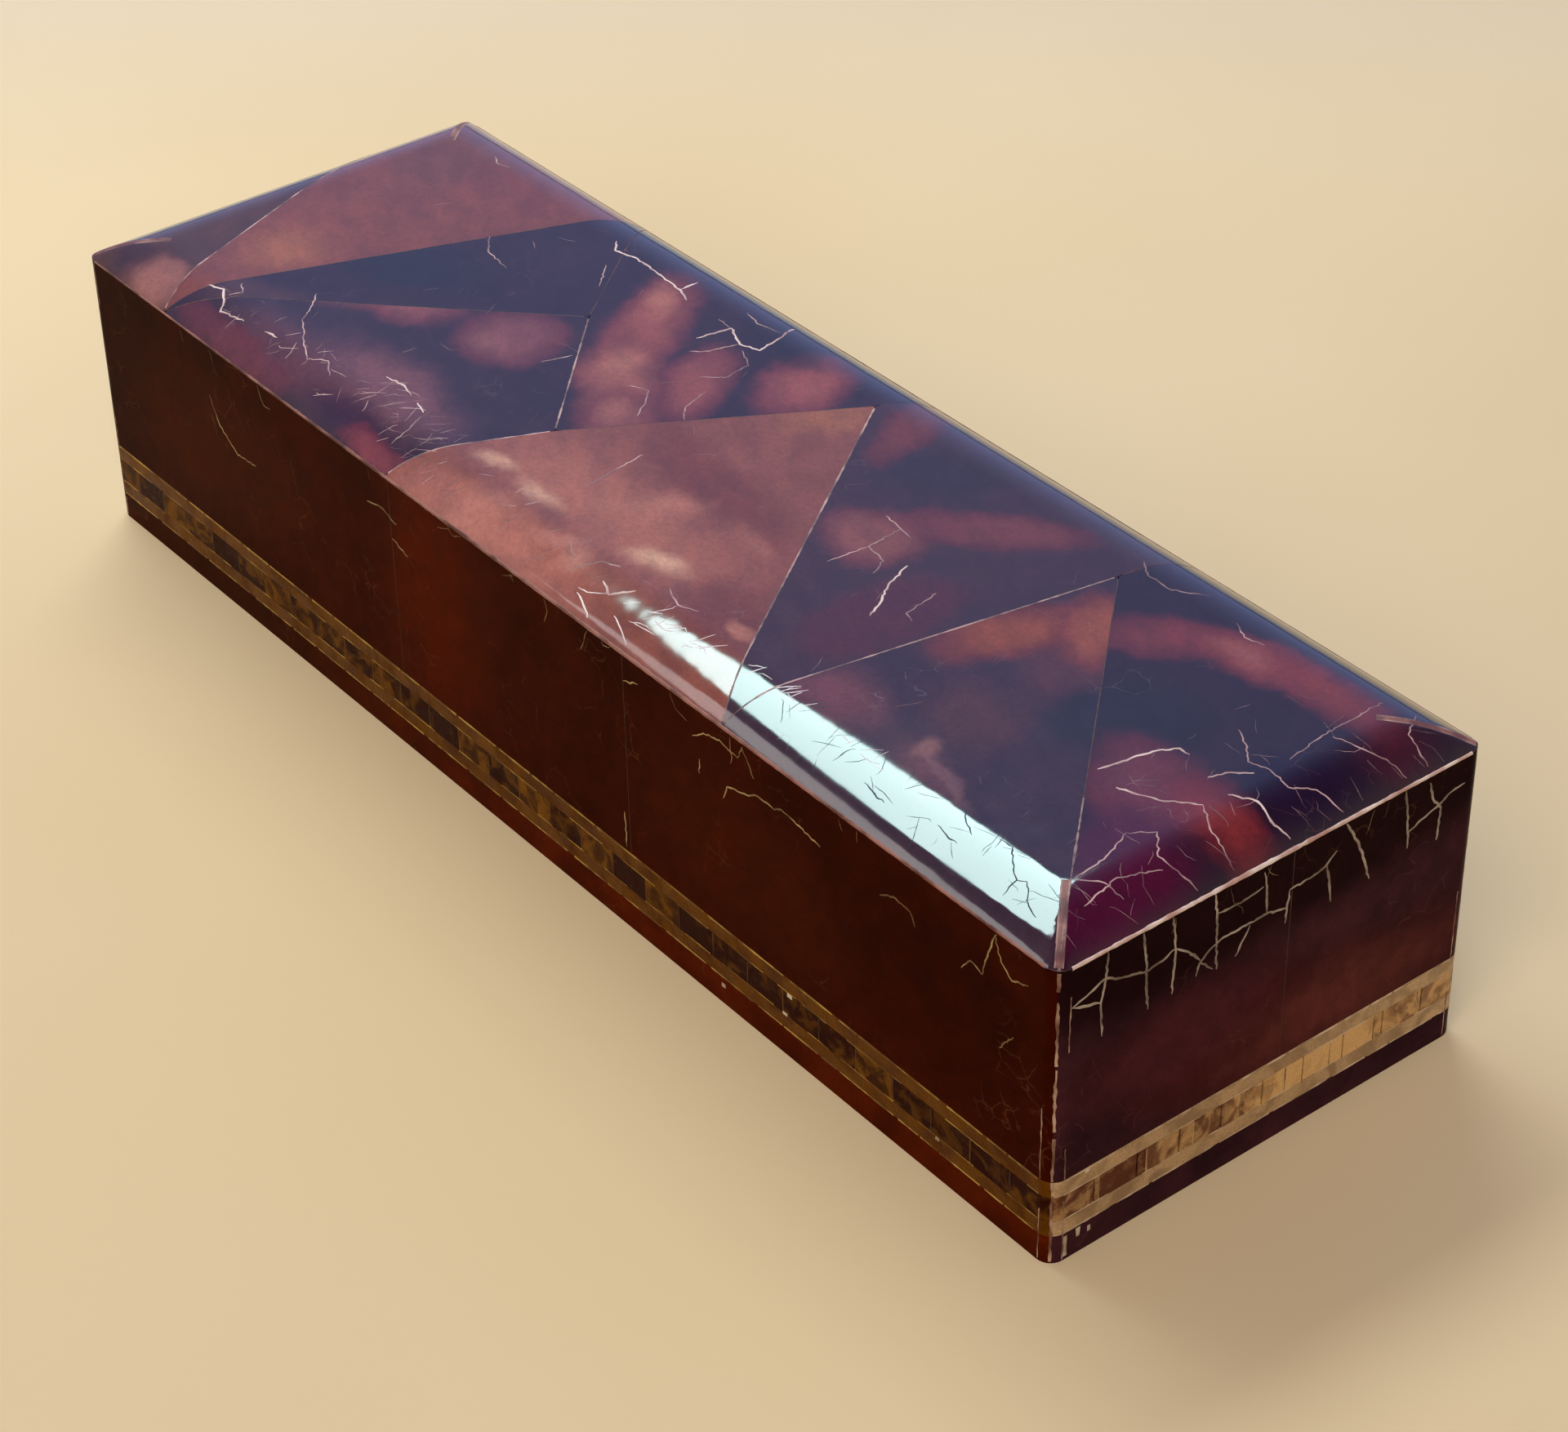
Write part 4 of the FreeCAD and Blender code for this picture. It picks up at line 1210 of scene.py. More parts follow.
# Cracks painted dark blue-grey where they cross the reflected window: painted shade standing for the break in
# the highlight.
SHADE_CRACK_LINE = LineFinish("painted_shade_crack", shade(52, 60, 78), shade(24, 28, 44))
END_CRACK = LineFinish("end_crack", shade(168, 150, 134), shade(98, 80, 68))
SIDE_CRACK = LineFinish("side_crack", shade(168, 142, 92), shade(86, 62, 28))
WORN_CREAM = LineFinish("worn_cream", shade(238, 216, 204), shade(186, 142, 130))
WORN_TAN = LineFinish("worn_tan", shade(150, 102, 90), shade(86, 42, 34))
CORNER_LINE = LineFinish("worn_corner", shade(178, 144, 118), shade(92, 58, 44))
HIP_LINE = LineFinish("worn_hip", shade(158, 108, 96), shade(104, 60, 60))
PANEL_LINE = LineFinish("panel_joint", shade(66, 34, 22), shade(38, 14, 6))
FILLER_LINE = LineFinish("band_filler", shade(184, 152, 104), shade(104, 72, 38))
DARK_FILLER = LineFinish("dark_filler", shade(92, 52, 12), shade(40, 12, 0))
FRONT_FILLER = LineFinish("front_filler", shade(176, 140, 62), shade(96, 62, 12))
END_FILLER = LineFinish("end_filler", shade(206, 182, 150), shade(150, 122, 90))
CHIP_LINE = LineFinish("bare_chip", shade(206, 192, 164), shade(150, 124, 96))

BOLD_CRACKS_AND_GLINTS = (
    ((-78, 35), (-75, 32.5), (-70, 33.8), (-62.5, 33.5), (-53.8, 32.8), (-49.4, 31.3)),
    ((-54, 37.5), (-53.6, 33)),
    ((-36.2, 23.6), (-34.8, 31.3), (-29, 28.8), (-24.5, 30.2), (-25.8, 36), (-28.6, 42)),
    ((-116.3, -38.1), (-112.5, -36.9), (-109.4, -38.8), (-106.9, -41.3), (-100, -40)),
    ((-93.4, -39.3), (-89.6, -38.8)),
    # These two short lines on the upper edge of the front bevel are painted glints of reflected light, drawn
    # as cream cracks.
    ((-62.5, -31), (-57.5, -30.2), (-53.6, -31.2)),
    ((-50.6, -31.8), (-46.8, -33)),
    ((52, 3.8), (54.4, -2.5), (58.1, -7.5), (60, -11.3)),
    ((118.4, -11), (119.6, -5), (120.5, -0.7), (122.7, 3.3), (125, 3.4)),
    ((131.4, 1.4), (132.4, 4.4), (135.4, 8)),
    ((20.6, -40), (24.2, -41.4), (27.4, -37.8)),
    ((124, -12), (131, -9), (136.4, -4.4)),
    ((148.6, 3.6), (145, 2.6), (141, 3.4), (137, 0.6)),
)
PLAIN_CRACKS = (
    ((-96.3, 16.3), (-91.3, 12.5), (-83.1, 11.3)),
    ((-89, 21.9), (-86, 20.6)),
    ((-71.3, 27.5), (-65, 21.3)),
    ((-125, 37.5), (-122, 36), (-119, 37)),
    ((-39.5, 31.6), (-34.8, 31.3)),
    ((-38, 37.6), (-33, 36.4), (-27.6, 38)),
    ((-29, 28.8), (-30.6, 22.5), (-33, 19.5)),
    ((-26.6, 27.6), (-21.3, 25), (-20.6, 18.8), (-24, 15)),
    ((-46.3, 1.3), (-48.1, -5)),
    ((-98.8, -23.8), (-95, -27.5), (-91.3, -31.9), (-87.5, -33.8), (-83.8, -36.3), (-78.8, -38.8)),
    ((-78.8, -38.8), (-75, -36.3), (-70.6, -38.8)),
    ((-46, -34), (-44, -38), (-43.6, -42.5)),
    ((-8.1, -10), (-7, -18), (-5.6, -25)),
    ((-30, 3), (-26, 4.6), (-22.4, 1), (-20, -2.6)),
    ((-19, 13), (-16.4, 6), (-13, 3.4)),
    ((36.9, 11.3), (41.9, 10.6), (45.6, 10)),
    ((41.9, 10.6), (42.8, 2.5), (48.1, 1.5), (50, -2.5)),
    ((42.8, 2.5), (41.9, -6.3)),
    ((77.5, 36.9), (81.3, 34.4), (87.5, 34.4), (90.6, 36.9), (92.5, 38.8)),
    ((102, 36), (106, 34), (110, 35)),
    ((125, 14.4), (128.8, 12.5), (132.5, 9.4), (136.3, 10.6), (141.3, 10), (144, 13.8), (148.8, 15.4)),
    ((134.4, 38.8), (135, 31), (135, 24), (136.4, 15)),
    ((136.3, 25), (141, 26.6), (145, 29), (148.8, 30)),
    ((140, 41), (143, 36), (148.8, 35)),
    ((136.4, -4.4), (141.3, -7.5), (148.8, -9)),
    ((134, -19), (137, -15), (141.3, -18.8), (148.8, -17)),
    ((134, -19), (136.9, -26.3), (137.5, -33)),
    ((137.4, -33.6), (141, -30), (145, -29.4)),
    ((143.8, -20), (141.3, -27.5), (143, -36)),
    ((62, 2), (63.4, -6), (66, -6.8)),
    ((-112, -33), (-108.6, -35), (-110, -37.4)),
    ((20, -35.6), (16, -37), (13.4, -42)),
    ((31, -33), (36, -35), (40, -33.4)),
)
# Real cracks across the window's reflection on the front bevel, painted dark as shade where they break the
# highlight.
SHADE_CRACKS = (
    ((122.5, -35.7), (125.3, -35.4), (129.4, -38.8), (131.5, -39.9), (131.9, -43.2)),
    ((131.5, -39.9), (133, -39.1), (136.5, -41.9), (139.5, -42.9)),
    ((112.6, -34.5), (116.2, -37.1), (118.4, -38.1)),
    ((95.6, -41.7), (99.6, -42.4), (101.6, -42.4)),
    ((87.6, -41.8), (87.8, -39.1), (88.7, -37.8)),
    ((112.5, -40.2), (116, -40.9), (118, -40.8)),
)
FRONT_CRACKS = (
    ((56.1, 55.3), (59.4, 57.6), (63.9, 58.7), (68.9, 57.8), (70.2, 60.7), (73.3, 55.9)),
    ((57.9, 51.4), (57.8, 48.2)),
    ((64.4, 46.7), (65.6, 49.8), (70.6, 51.2), (74.4, 52.8), (78.9, 52.6), (80.6, 53.7), (85.6, 53.1),
     (91.1, 52)),
    ((106.7, 51.4), (110, 53.1), (114.4, 52.6), (115.6, 50.3)),
    ((127.2, 49.2), (129.4, 52), (132.2, 50.9), (134.4, 58.7), (135.6, 61.2)),
    ((135, 60.9), (136.7, 56.4), (139.4, 54.2), (143.3, 55.6)),
    ((36, 55.9), (40.5, 57.5)),
    ((140, 43), (136.7, 38.7)),
    ((34.5, 26.4), (34.8, 18.6)),
    ((-104, 50), (-101, 44), (-95, 40), (-88, 40.6)),
    ((-46, 53), (-41, 54), (-36, 52.6)),
    ((-38, 48.6), (-33, 47)),
)
END_CRACKS = (
    ((-37.1, 61.4), (-37.3, 56.2), (-38.2, 51.2), (-37.7, 44.5)),
    ((-29.6, 61.4), (-28.8, 56.2), (-28.5, 51.2), (-27.9, 44.9)),
    ((-23.3, 61.4), (-22.5, 57), (-22.3, 53.7), (-22.7, 45.3)),
    ((-14.2, 61.4), (-13.5, 57), (-13.2, 51.2), (-12.9, 45.3)),
    ((-3.3, 60.3), (-2.5, 57), (-2.1, 51.6)),
    ((2.9, 53.7), (2.3, 47)),
    ((11.3, 54.5), (12.3, 49.5), (12.9, 46.2)),
    ((15, 61.4), (16.7, 58.7), (19.2, 53.7), (21.7, 46.6)),
    ((28.8, 61.4), (29.6, 57), (30.4, 51.2), (30.4, 48.7)),
    ((34.6, 60.3), (35.8, 56.2), (37.9, 53.7), (37.5, 47)),
    ((-44.4, 53.8), (-40.8, 54.9), (-37.5, 56.2), (-35, 54.9), (-30.8, 53.7), (-28.8, 53), (-25, 53.4),
     (-22.5, 54.5)),
    ((-44.2, 53.8), (-38.2, 51.6)),
    ((-22.5, 54.5), (-19.2, 52), (-16.7, 49.1)),
    ((-17.5, 46.2), (-16.7, 48.7), (-14.6, 50.3), (-11.7, 51.3), (-6.7, 51.2), (-2.1, 51.3), (2.5, 50.1)),
    ((-16.7, 48.7), (-13.8, 45.8)),
    ((-5.8, 50.8), (-8.8, 45.8)),
    ((-13.3, 57), (-8.3, 56.6), (-3.3, 57.4)),
    ((2.9, 53.7), (7.5, 53.8), (10.8, 54.5), (13.3, 56.6)),
    ((30, 52), (33.3, 53.3), (37.5, 54.5), (40, 55.8), (43.3, 56.2)),
)


@dataclass(frozen=True)
class Sprigs:
    """A patch of short cracks on the top: how many, where, which way and how big, in millimetres."""

    count: int
    spans: tuple[Plan, Plan]
    headings: Plan
    lengths: Plan = (2, 6)
    half_width: float = 0.075


PLAIN_SPRIGS = (
    Sprigs(26, ((-62, -38), (-44, -32)), (1.1, 0.5), (2, 6), 0.12),
    Sprigs(16, ((-114, -62), (-45, -36)), (0.8, 0.6), (2, 5), 0.11),
    Sprigs(12, ((-32, 20), (-45, -36)), (1.0, 0.7), (2, 5), 0.1),
)
HAIR_SPRIGS = (
    Sprigs(30, ((-62, -34), (-44, -31)), (1.0, 0.7)),
    Sprigs(34, ((-34, 40), (-45, -32)), (0.9, 0.8)),
    Sprigs(14, ((-116, -70), (-43, -34)), (0.6, 0.8), (2, 5)),
    Sprigs(30, ((-120, 130), (-30, 38)), (0.8, 1.2)),
    Sprigs(20, ((120, 134), (-30, 30)), (0.3, 1.0)),
    Sprigs(26, ((137, 147), (-44, 44)), (0.1, 0.6), (3, 8)),
)
# Short cracks along the upper edge of the window's reflection on the front bevel, painted bright as glints.
GLINT_SPRIGS = (
    Sprigs(16, ((24, 52), (-41.5, -39.5)), (0.75, 0.35), (2, 6), 0.14),
    Sprigs(16, ((52, 96), (-38.6, -36.6)), (0.8, 0.45), (2, 7), 0.14),
    Sprigs(5, ((12, 40), (-44.5, -42.5)), (0.05, 0.1), (4, 9), 0.16),
)
# Short cracks inside the window's reflection, painted dark as shade where they break the highlight.
SHADE_SPRIGS = (Sprigs(40, ((60, 140), (-43.6, -36)), (0.6, 0.9), (2, 7), 0.07),)
# How far to either side the short cracks of each face reach, in millimetres, and how many are tried.
SIDE_SPRIGS = {Side.FRONT: (144.0, 16), Side.BACK: (144.0, 40), Side.RIGHT: (42.0, 6), Side.LEFT: (42.0, 26)}


@dataclass
class Crazing:
    """The cracks in the lacquer: the long ones drawn as listed, the short ones grown from a seed."""

    box: BoxFrame
    top: PillowTop
    tree: Tree
    seed: int = 41
    step: float = 0.8 * MM
    margin: float = 0.7 * MM
    wander: float = 0.2 * MM
    end_wander: float = 0.16 * MM
    bold_width: float = 0.27 * MM
    plain_width: float = 0.17 * MM
    shade_crack_width: float = 0.15 * MM
    front_width: float = 0.2 * MM
    end_width: float = 0.3 * MM
    below_arris: float = 0.8 * MM
    sprig_bend: float = 0.34
    side_bend: float = 0.5
    side_headings: Plan = (-1.57, 0.4)
    side_lengths: Plan = (2.0, 9.0)
    side_widths: Plan = (0.05, 0.1)
    side_margin: float = 1.5

    def __post_init__(self) -> None:
        """Starts the random draws."""
        self.draws = random.Random(self.seed)

    def jagged(self, spots: Sequence[Plan], wander: float) -> list[Plan]:
        """Breaks a drawn line into short steps that wander off it.

        Args:
            spots: the drawn points in millimetres.
            wander: how far a step may stray, in metres.

        Returns:
            Points in metres.
        """
        drawn = [(a * MM, b * MM) for a, b in spots]
        points = [drawn[0]]
        for start, end in zip(drawn, drawn[1:]):
            run = math.dist(start, end)
            steps = max(round(run / self.step), 1)
            for step in range(1, steps + 1):
                share = step / steps
                stray = wander if step < steps else 0.0
                points.append(tuple(a + (b - a) * share + self.draws.uniform(-stray, stray)
                                    for a, b in zip(start, end)))
        return points

    def grown(self, start: Plan, heading: float, length: float, bend: float) -> list[Plan]:
        """A short crack that runs off from a point, mostly straight with now and then a kink.

        Args:
            start: where it starts, in metres.
            heading: its first direction.
            length: how long it gets.
            bend: how much it turns at a kink.

        Returns:
            Its points in metres.
        """
        points, spot = [start], start
        for _ in range(max(int(length / self.step), 2)):
            kink = bend if self.draws.random() < 0.3 else 0.2 * bend
            heading += self.draws.gauss(0.0, kink)
            spot = (spot[0] + math.cos(heading) * self.step, spot[1] + math.sin(heading) * self.step)
            points.append(spot)
        return points

    def path(self, points: Sequence[Plan], width: float, put: Put) -> LinePath:
        """Lays a crack on its surface, thinning out at both ends.

        Args:
            points: the crack's points on the surface.
            width: half the width that shows.
            put: gives the place of a point at a depth.

        Returns:
            The crack's path.
        """
        last = len(points) - 1
        widths = []
        for i in range(len(points)):
            taper = min(1.0, 0.4 + 0.3 * min(i, last - i))
            widths.append(width * taper * self.draws.uniform(0.7, 1.2))
        return ribbon(points, widths, put)

    def inside_top(self, points: Sequence[Plan]) -> list[Plan]:
        """Keeps a grown crack within the top."""
        reach = (self.box.half_length - self.margin, self.box.half_width - self.margin)
        kept = []
        for across, along in points:
            if abs(across) > reach[0] or abs(along) > reach[1]:
                break
            kept.append((across, along))
        return kept

    def drawn(self, lines: Sequence[Sequence[Plan]], wander: float, width: float, put: Put) -> list[LinePath]:
        """Lays drawn cracks, in millimetres, on a surface."""
        return [self.path(self.jagged(spots, wander), width, put) for spots in lines]

    def sprigs(self, patch: Sprigs) -> list[LinePath]:
        """Scatters the short cracks of one patch over the top."""
        found = []
        for _ in range(patch.count):
            start = tuple(self.draws.uniform(*span) * MM for span in patch.spans)
            heading = self.draws.gauss(*patch.headings)
            length = self.draws.uniform(*patch.lengths) * MM
            points = self.inside_top(self.grown(start, heading, length, self.sprig_bend))
            if len(points) > 2:
                width = patch.half_width * MM * self.draws.uniform(0.6, 1.2)
                found.append(self.path(points, width, self.top.place))
        return found

    def build_top(self) -> None:
        """The cracks of the top, some painted bright as glints and some dark as shade where they cross the
        reflected window: of each kind the drawn ones first, then the scattered ones.
        """
        kinds = (
            ("top_cracks", CRACK_AND_GLINT_LINE, BOLD_CRACKS_AND_GLINTS, self.bold_width, ()),
            ("top_thin_cracks", THIN_LINE, PLAIN_CRACKS, self.plain_width, PLAIN_SPRIGS),
            ("top_hair_cracks", FAINT_LINE, (), 0.0, HAIR_SPRIGS),
            ("top_bright_cracks", GLINT_CRACK_LINE, (), 0.0, GLINT_SPRIGS),
            ("top_dark_cracks", SHADE_CRACK_LINE, SHADE_CRACKS, self.shade_crack_width, SHADE_SPRIGS),
        )
        for name, finish, lines, width, patches in kinds:
            paths = self.drawn(lines, self.wander, width, self.top.place)
            for patch in patches:
                paths += self.sprigs(patch)
            line_piece(self.tree, name, paths, finish, Body.LID, Slot.TOP)

    def build_sides(self) -> None:
        """The cracks of the four upright faces of the lid."""
        fine = self.drawn(FRONT_CRACKS, self.wander, self.front_width, self.box.placer(Side.FRONT))
        coarse = self.drawn(END_CRACKS, self.end_wander, self.end_width, self.box.placer(Side.RIGHT))
        for side, (half, count) in SIDE_SPRIGS.items():
            furthest = (half + self.side_margin) * MM
            for _ in range(count):
                start = (self.draws.uniform(-half, half) * MM, self.box.arris - self.below_arris)
                heading = self.draws.gauss(*self.side_headings)
                length = self.draws.uniform(*self.side_lengths) * MM
                points = [spot for spot in self.grown(start, heading, length, self.side_bend)
                          if abs(spot[0]) < furthest and spot[1] < self.box.arris]
                if len(points) > 2:
                    width = self.draws.uniform(*self.side_widths) * MM
                    fine.append(self.path(points, width, self.box.placer(side)))
        line_piece(self.tree, "side_cracks", fine, SIDE_CRACK, Body.LID, Slot.SIDE)
        line_piece(self.tree, "end_cracks", coarse, END_CRACK, Body.LID, Slot.SIDE)


# Turn round an upright corner in radians, share that shows and half width in millimetres of its worn lines.
CORNER_WEAR = ((0.04, 0.3, 0.14), (0.75, 0.9, 0.24), (1.5, 0.2, 0.12))
# Distances of the lines of a hip from its middle, in millimetres.
HIP_OFFSETS = (-0.62, -0.31, 0.0, 0.31, 0.62)


@dataclass
class SeamLines:
    """The filler that shows between the tiles, and the rubbed lines along the lid's edges."""

    box: BoxFrame
    top: PillowTop
    tree: Tree
    rods: Tree
    seed: int = 23
    step: float = 1.0 * MM
    proud: float = 0.03 * MM
    from_joint: float = 0.9 * MM
    pale_width: float = 0.19 * MM
    dim_width: float = 0.1 * MM
    corner_seam_width: float = 0.2 * MM
    corner_seam_shares: Plan = (0.62, 0.01)
    edge_lean: float = 65.0
    cream_radii: Spot = (0.4 * MM, 0.52 * MM, 0.34 * MM)
    cream_share: float = 0.4
    tan_radii: Spot = (0.2 * MM, 0.5 * MM, 0.34 * MM)
    tan_share: float = 0.6
    panel_foot: float = 0.3 * MM
    panel_head: float = 0.5 * MM
    long_panel_width: float = 0.08 * MM
    end_panel_width: float = 0.12 * MM
    hip_foot: float = 1.1 * MM
    hip_width: float = 0.2 * MM
    hip_edge_width: float = 0.15 * MM
    runs: Plan = (4.0, 16.0)
    shortest: float = 1.0 * MM
    corner_foot: float = 0.4 * MM
    corner_head: float = 0.4 * MM
    above_rim: float = 0.2 * MM
    corner_stray: float = 0.03

    def __post_init__(self) -> None:
        """Starts the random draws."""
        self.draws = random.Random(self.seed)

    def worn(self, count: int, width: float, ragged: float) -> list[float]:
        """Widths that vary along a line."""
        return [width * self.draws.uniform(1.0 - ragged, 1.0 + ragged) for _ in range(count)]

    def evenly(self, low: float, high: float) -> list[float]:
        """Even steps from one value to another."""
        steps = max(int((high - low) / self.step), 1)
        return [low + (high - low) * i / steps for i in range(steps + 1)]

    def straight(self, start: Vector, end: Vector) -> list[Plan]:
        """Even steps along a straight line of the plan."""
        steps = max(int((end - start).length / self.step), 1)
        return [tuple(start.lerp(end, i / steps)) for i in range(steps + 1)]

    def build_seams(self) -> None:
        """The lines between the tiles."""
        pairs = set()
        for names in TOP_TILES.values():
            for i, name in enumerate(names):
                other = names[(i + 1) % len(names)]
                if not self.top.on_edge(name, other):
                    pairs.add(tuple(sorted((name, other))))
        pale_pairs = {tuple(sorted(pair)) for pair in PALE_SEAMS}
        kinds = {"pale": [], "dim": []}
        for pair in sorted(pairs):
            start, end = (self.top.corner_point(name) for name in pair)
            inside = self.from_joint / (end - start).length
            spots = self.straight(start.lerp(end, inside), end.lerp(start, inside))
            pale = pair in pale_pairs
            widths = self.worn(len(spots), self.pale_width if pale else self.dim_width, 0.5)
            kinds["pale" if pale else "dim"].append(ribbon(spots, widths, self.top.place))
        start, end = (self.top.corner_point(name) for name in ("inner_right", "front_right_corner"))
        first_share, last_share = self.corner_seam_shares
        spots = self.straight(start.lerp(end, first_share), end.lerp(start, last_share))
        widths = self.worn(len(spots), self.corner_seam_width, 0.5)
        kinds["pale"].append(ribbon(spots, widths, self.top.place))
        line_piece(self.tree, "pale_seams", kinds["pale"], PALE_LINE, Body.LID, Slot.TOP)
        line_piece(self.tree, "dim_seams", kinds["dim"], DIM_LINE, Body.LID, Slot.TOP)

    def edge_rod(self, start: Vector, end: Vector, inward: Vector, radii: Plan) -> LinePath:
        """A rod along an outer edge, sunk so that only a rubbed line shows.

        Args:
            start: the edge's start.
            end: its end.
            inward: the way into the solid.
            radii: the rod's radius at its two ends.

        Returns:
            The rod's path.
        """
        steps = max(int((end - start).length / self.step), 1)
        points, widths = [], []
        for i in range(steps + 1):
            radius = (radii[0] + (radii[1] - radii[0]) * i / steps) * self.draws.uniform(0.75, 1.15)
            points.append(start.lerp(end, i / steps) + inward * (radius - self.proud))
            widths.append(radius)
        return LinePath(tuple(points), tuple(widths), (-inward,) * len(points))

    def edge_rods(self, start: Vector, end: Vector, middle_share: float, inward: Vector,
                  radii: Spot) -> list[LinePath]:
        """Two rods that meet along one edge; the radii are at its start, where they meet and at its end."""
        middle = start.lerp(end, middle_share)
        first = self.edge_rod(start, middle, inward, radii[:2])
        return [first, self.edge_rod(middle, end, inward, radii[1:])]

    def build_edges(self) -> None:
        """The rubbed arrises of the lid, and the joints of its side panels."""
        half, wide, arris = self.box.half_length, self.box.half_width, self.box.arris
        corner = self.box.corner
        cream, tan = [], []
        lean = math.radians(self.edge_lean)
        for sign in SIGNS:
            inward = Vector((-sign * math.sin(lean), 0.0, -math.cos(lean)))
            ends = [Vector((sign * half, side * (wide - corner), arris)) for side in SIGNS]
            cream += self.edge_rods(*ends, self.cream_share, inward, self.cream_radii)
            inward = Vector((0.0, -sign * math.sin(lean), -math.cos(lean)))
            ends = [Vector((side * (half - corner), sign * wide, arris)) for side in SIGNS]
            tan += self.edge_rods(*ends, self.tan_share, inward, self.tan_radii)
        line_piece(self.rods, "worn_cream_edges", cream, WORN_CREAM, Body.LID, Slot.SIDE)
        line_piece(self.rods, "worn_brown_edges", tan, WORN_TAN, Body.LID, Slot.SIDE)
        self.build_hips()
        joints = []
        for side, node in ((Side.FRONT, "lid_front_shell_2"), (Side.BACK, "lid_back_shell_2")):
            low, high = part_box(node)
            foot, head = low.z + self.panel_foot, high.z - self.panel_head
            joints += [self.wall_line(side, x, foot, head, self.long_panel_width) for x in (low.x, high.x)]
        for side, node in ((Side.RIGHT, "lid_right_shell_1"), (Side.LEFT, "lid_left_shell_2")):
            low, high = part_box(node)
            foot, head = low.z + self.panel_foot, high.z - self.panel_head
            joints.append(self.wall_line(side, high.y, foot, head, self.end_panel_width))
        line_piece(self.tree, "panel_joints", joints, PANEL_LINE, Body.LID, Slot.SIDE)

    def build_hips(self) -> None:
        """The rubbed hips: a tan strip between two cream lines."""
        half, wide, inset = self.box.half_length, self.box.half_width, self.top.inset
        end, side = half - self.hip_foot, wide - self.hip_foot
        tan, cream = [], []
        for sign_x in SIGNS:
            for sign_y in SIGNS:
                head = Vector((sign_x * (half - inset), sign_y * (wide - inset)))
                foot = Vector((sign_x * end, sign_y * side))
                aside = Vector((sign_x, -sign_y)) * (math.sqrt(0.5) * MM)
                for offset in HIP_OFFSETS:
                    outer = offset in (HIP_OFFSETS[0], HIP_OFFSETS[-1])
                    spots = self.straight(head + aside * offset, foot + aside * offset)
                    widths = self.worn(len(spots), self.hip_edge_width if outer else self.hip_width, 0.3)
                    (cream if outer else tan).append(ribbon(spots, widths, self.top.place))
        line_piece(self.tree, "worn_hips", tan, HIP_LINE, Body.LID, Slot.TOP)
        line_piece(self.tree, "worn_hip_edges", cream, PALE_LINE, Body.LID, Slot.TOP)

    def wall_line(self, side: Side, along: float, low: float, high: float, width: float) -> LinePath:
        """An upright line on a face."""
        spots = [(along, level) for level in self.evenly(low, high)]
        return ribbon(spots, self.worn(len(spots), width, 0.25), self.box.placer(side))

    def level_lines(self, side: Side, level: float, reach: float, share: float,
                    width: float) -> list[LinePath]:
        """A level line on a face, as far as a reach to either side, of which about a share shows."""
        found = []
        for low, high in self.stretches(-reach, reach, share):
            spots = [(along, level) for along in self.evenly(low, high)]
            found.append(ribbon(spots, self.worn(len(spots), width, 0.4), self.box.placer(side)))
        return found

    def stretches(self, low: float, high: float, share: float) -> list[Plan]:
        """Splits a range into stretches with gaps, so that about a share of it shows."""
        found, spot = [], low
        while spot < high:
            run = self.draws.uniform(*self.runs) * MM
            stop = min(spot + run, high)
            if stop - spot > self.shortest:
                found.append((spot, stop))
            spot = stop + run * (1.0 - share) / share * self.draws.uniform(0.5, 1.5)
        return found

    def build_corners(self) -> None:
        """The pale wear down the upright corners, on the lid and on the base."""
        rim = self.box.rim
        spans = {Body.LID: (rim + self.above_rim, self.box.arris - self.corner_head),
                 Body.BASE: (self.corner_foot, rim)}
        for body, (low, high) in spans.items():
            lines = []
            for sign_x in SIGNS:
                for sign_y in SIGNS:
                    lines += self.corner_lines(sign_x, sign_y, low, high)
            line_piece(self.tree, f"{body.value}_worn_corners", lines, CORNER_LINE, body, Slot.SIDE)

    def corner_lines(self, sign_x: float, sign_y: float, low: float, high: float) -> list[LinePath]:
        """The broken pale lines of one corner, round its turn.

        Args:
            sign_x: which end.
            sign_y: which long side.
            low: where the wear starts.
            high: where it stops.

        Returns:
            The lines' paths.
        """
        radius = self.box.corner
        middle_x, middle_y = self.box.half_length - radius, self.box.half_width - radius
        centre = Vector((sign_x * middle_x, sign_y * middle_y, 0.0))
        def put(turn: float, level: float, depth: float) -> Vector:
            """A point on the corner's round, at a depth under it."""
            out = Vector((sign_x * math.cos(turn), sign_y * math.sin(turn), 0.0))
            return centre + out * (radius - depth) + Vector((0.0, 0.0, level))
        found = []
        for turn, share, width in CORNER_WEAR:
            for start, end in self.stretches(low, high, share):
                stray = self.corner_stray
                spots = [(turn + self.draws.uniform(-stray, stray), level)
                         for level in self.evenly(start, end)]
                found.append(ribbon(spots, self.worn(len(spots), width * MM, 0.5), put))
        return found


# The length of one piece of the row, in millimetres.
ROW_PIECE = 10.0
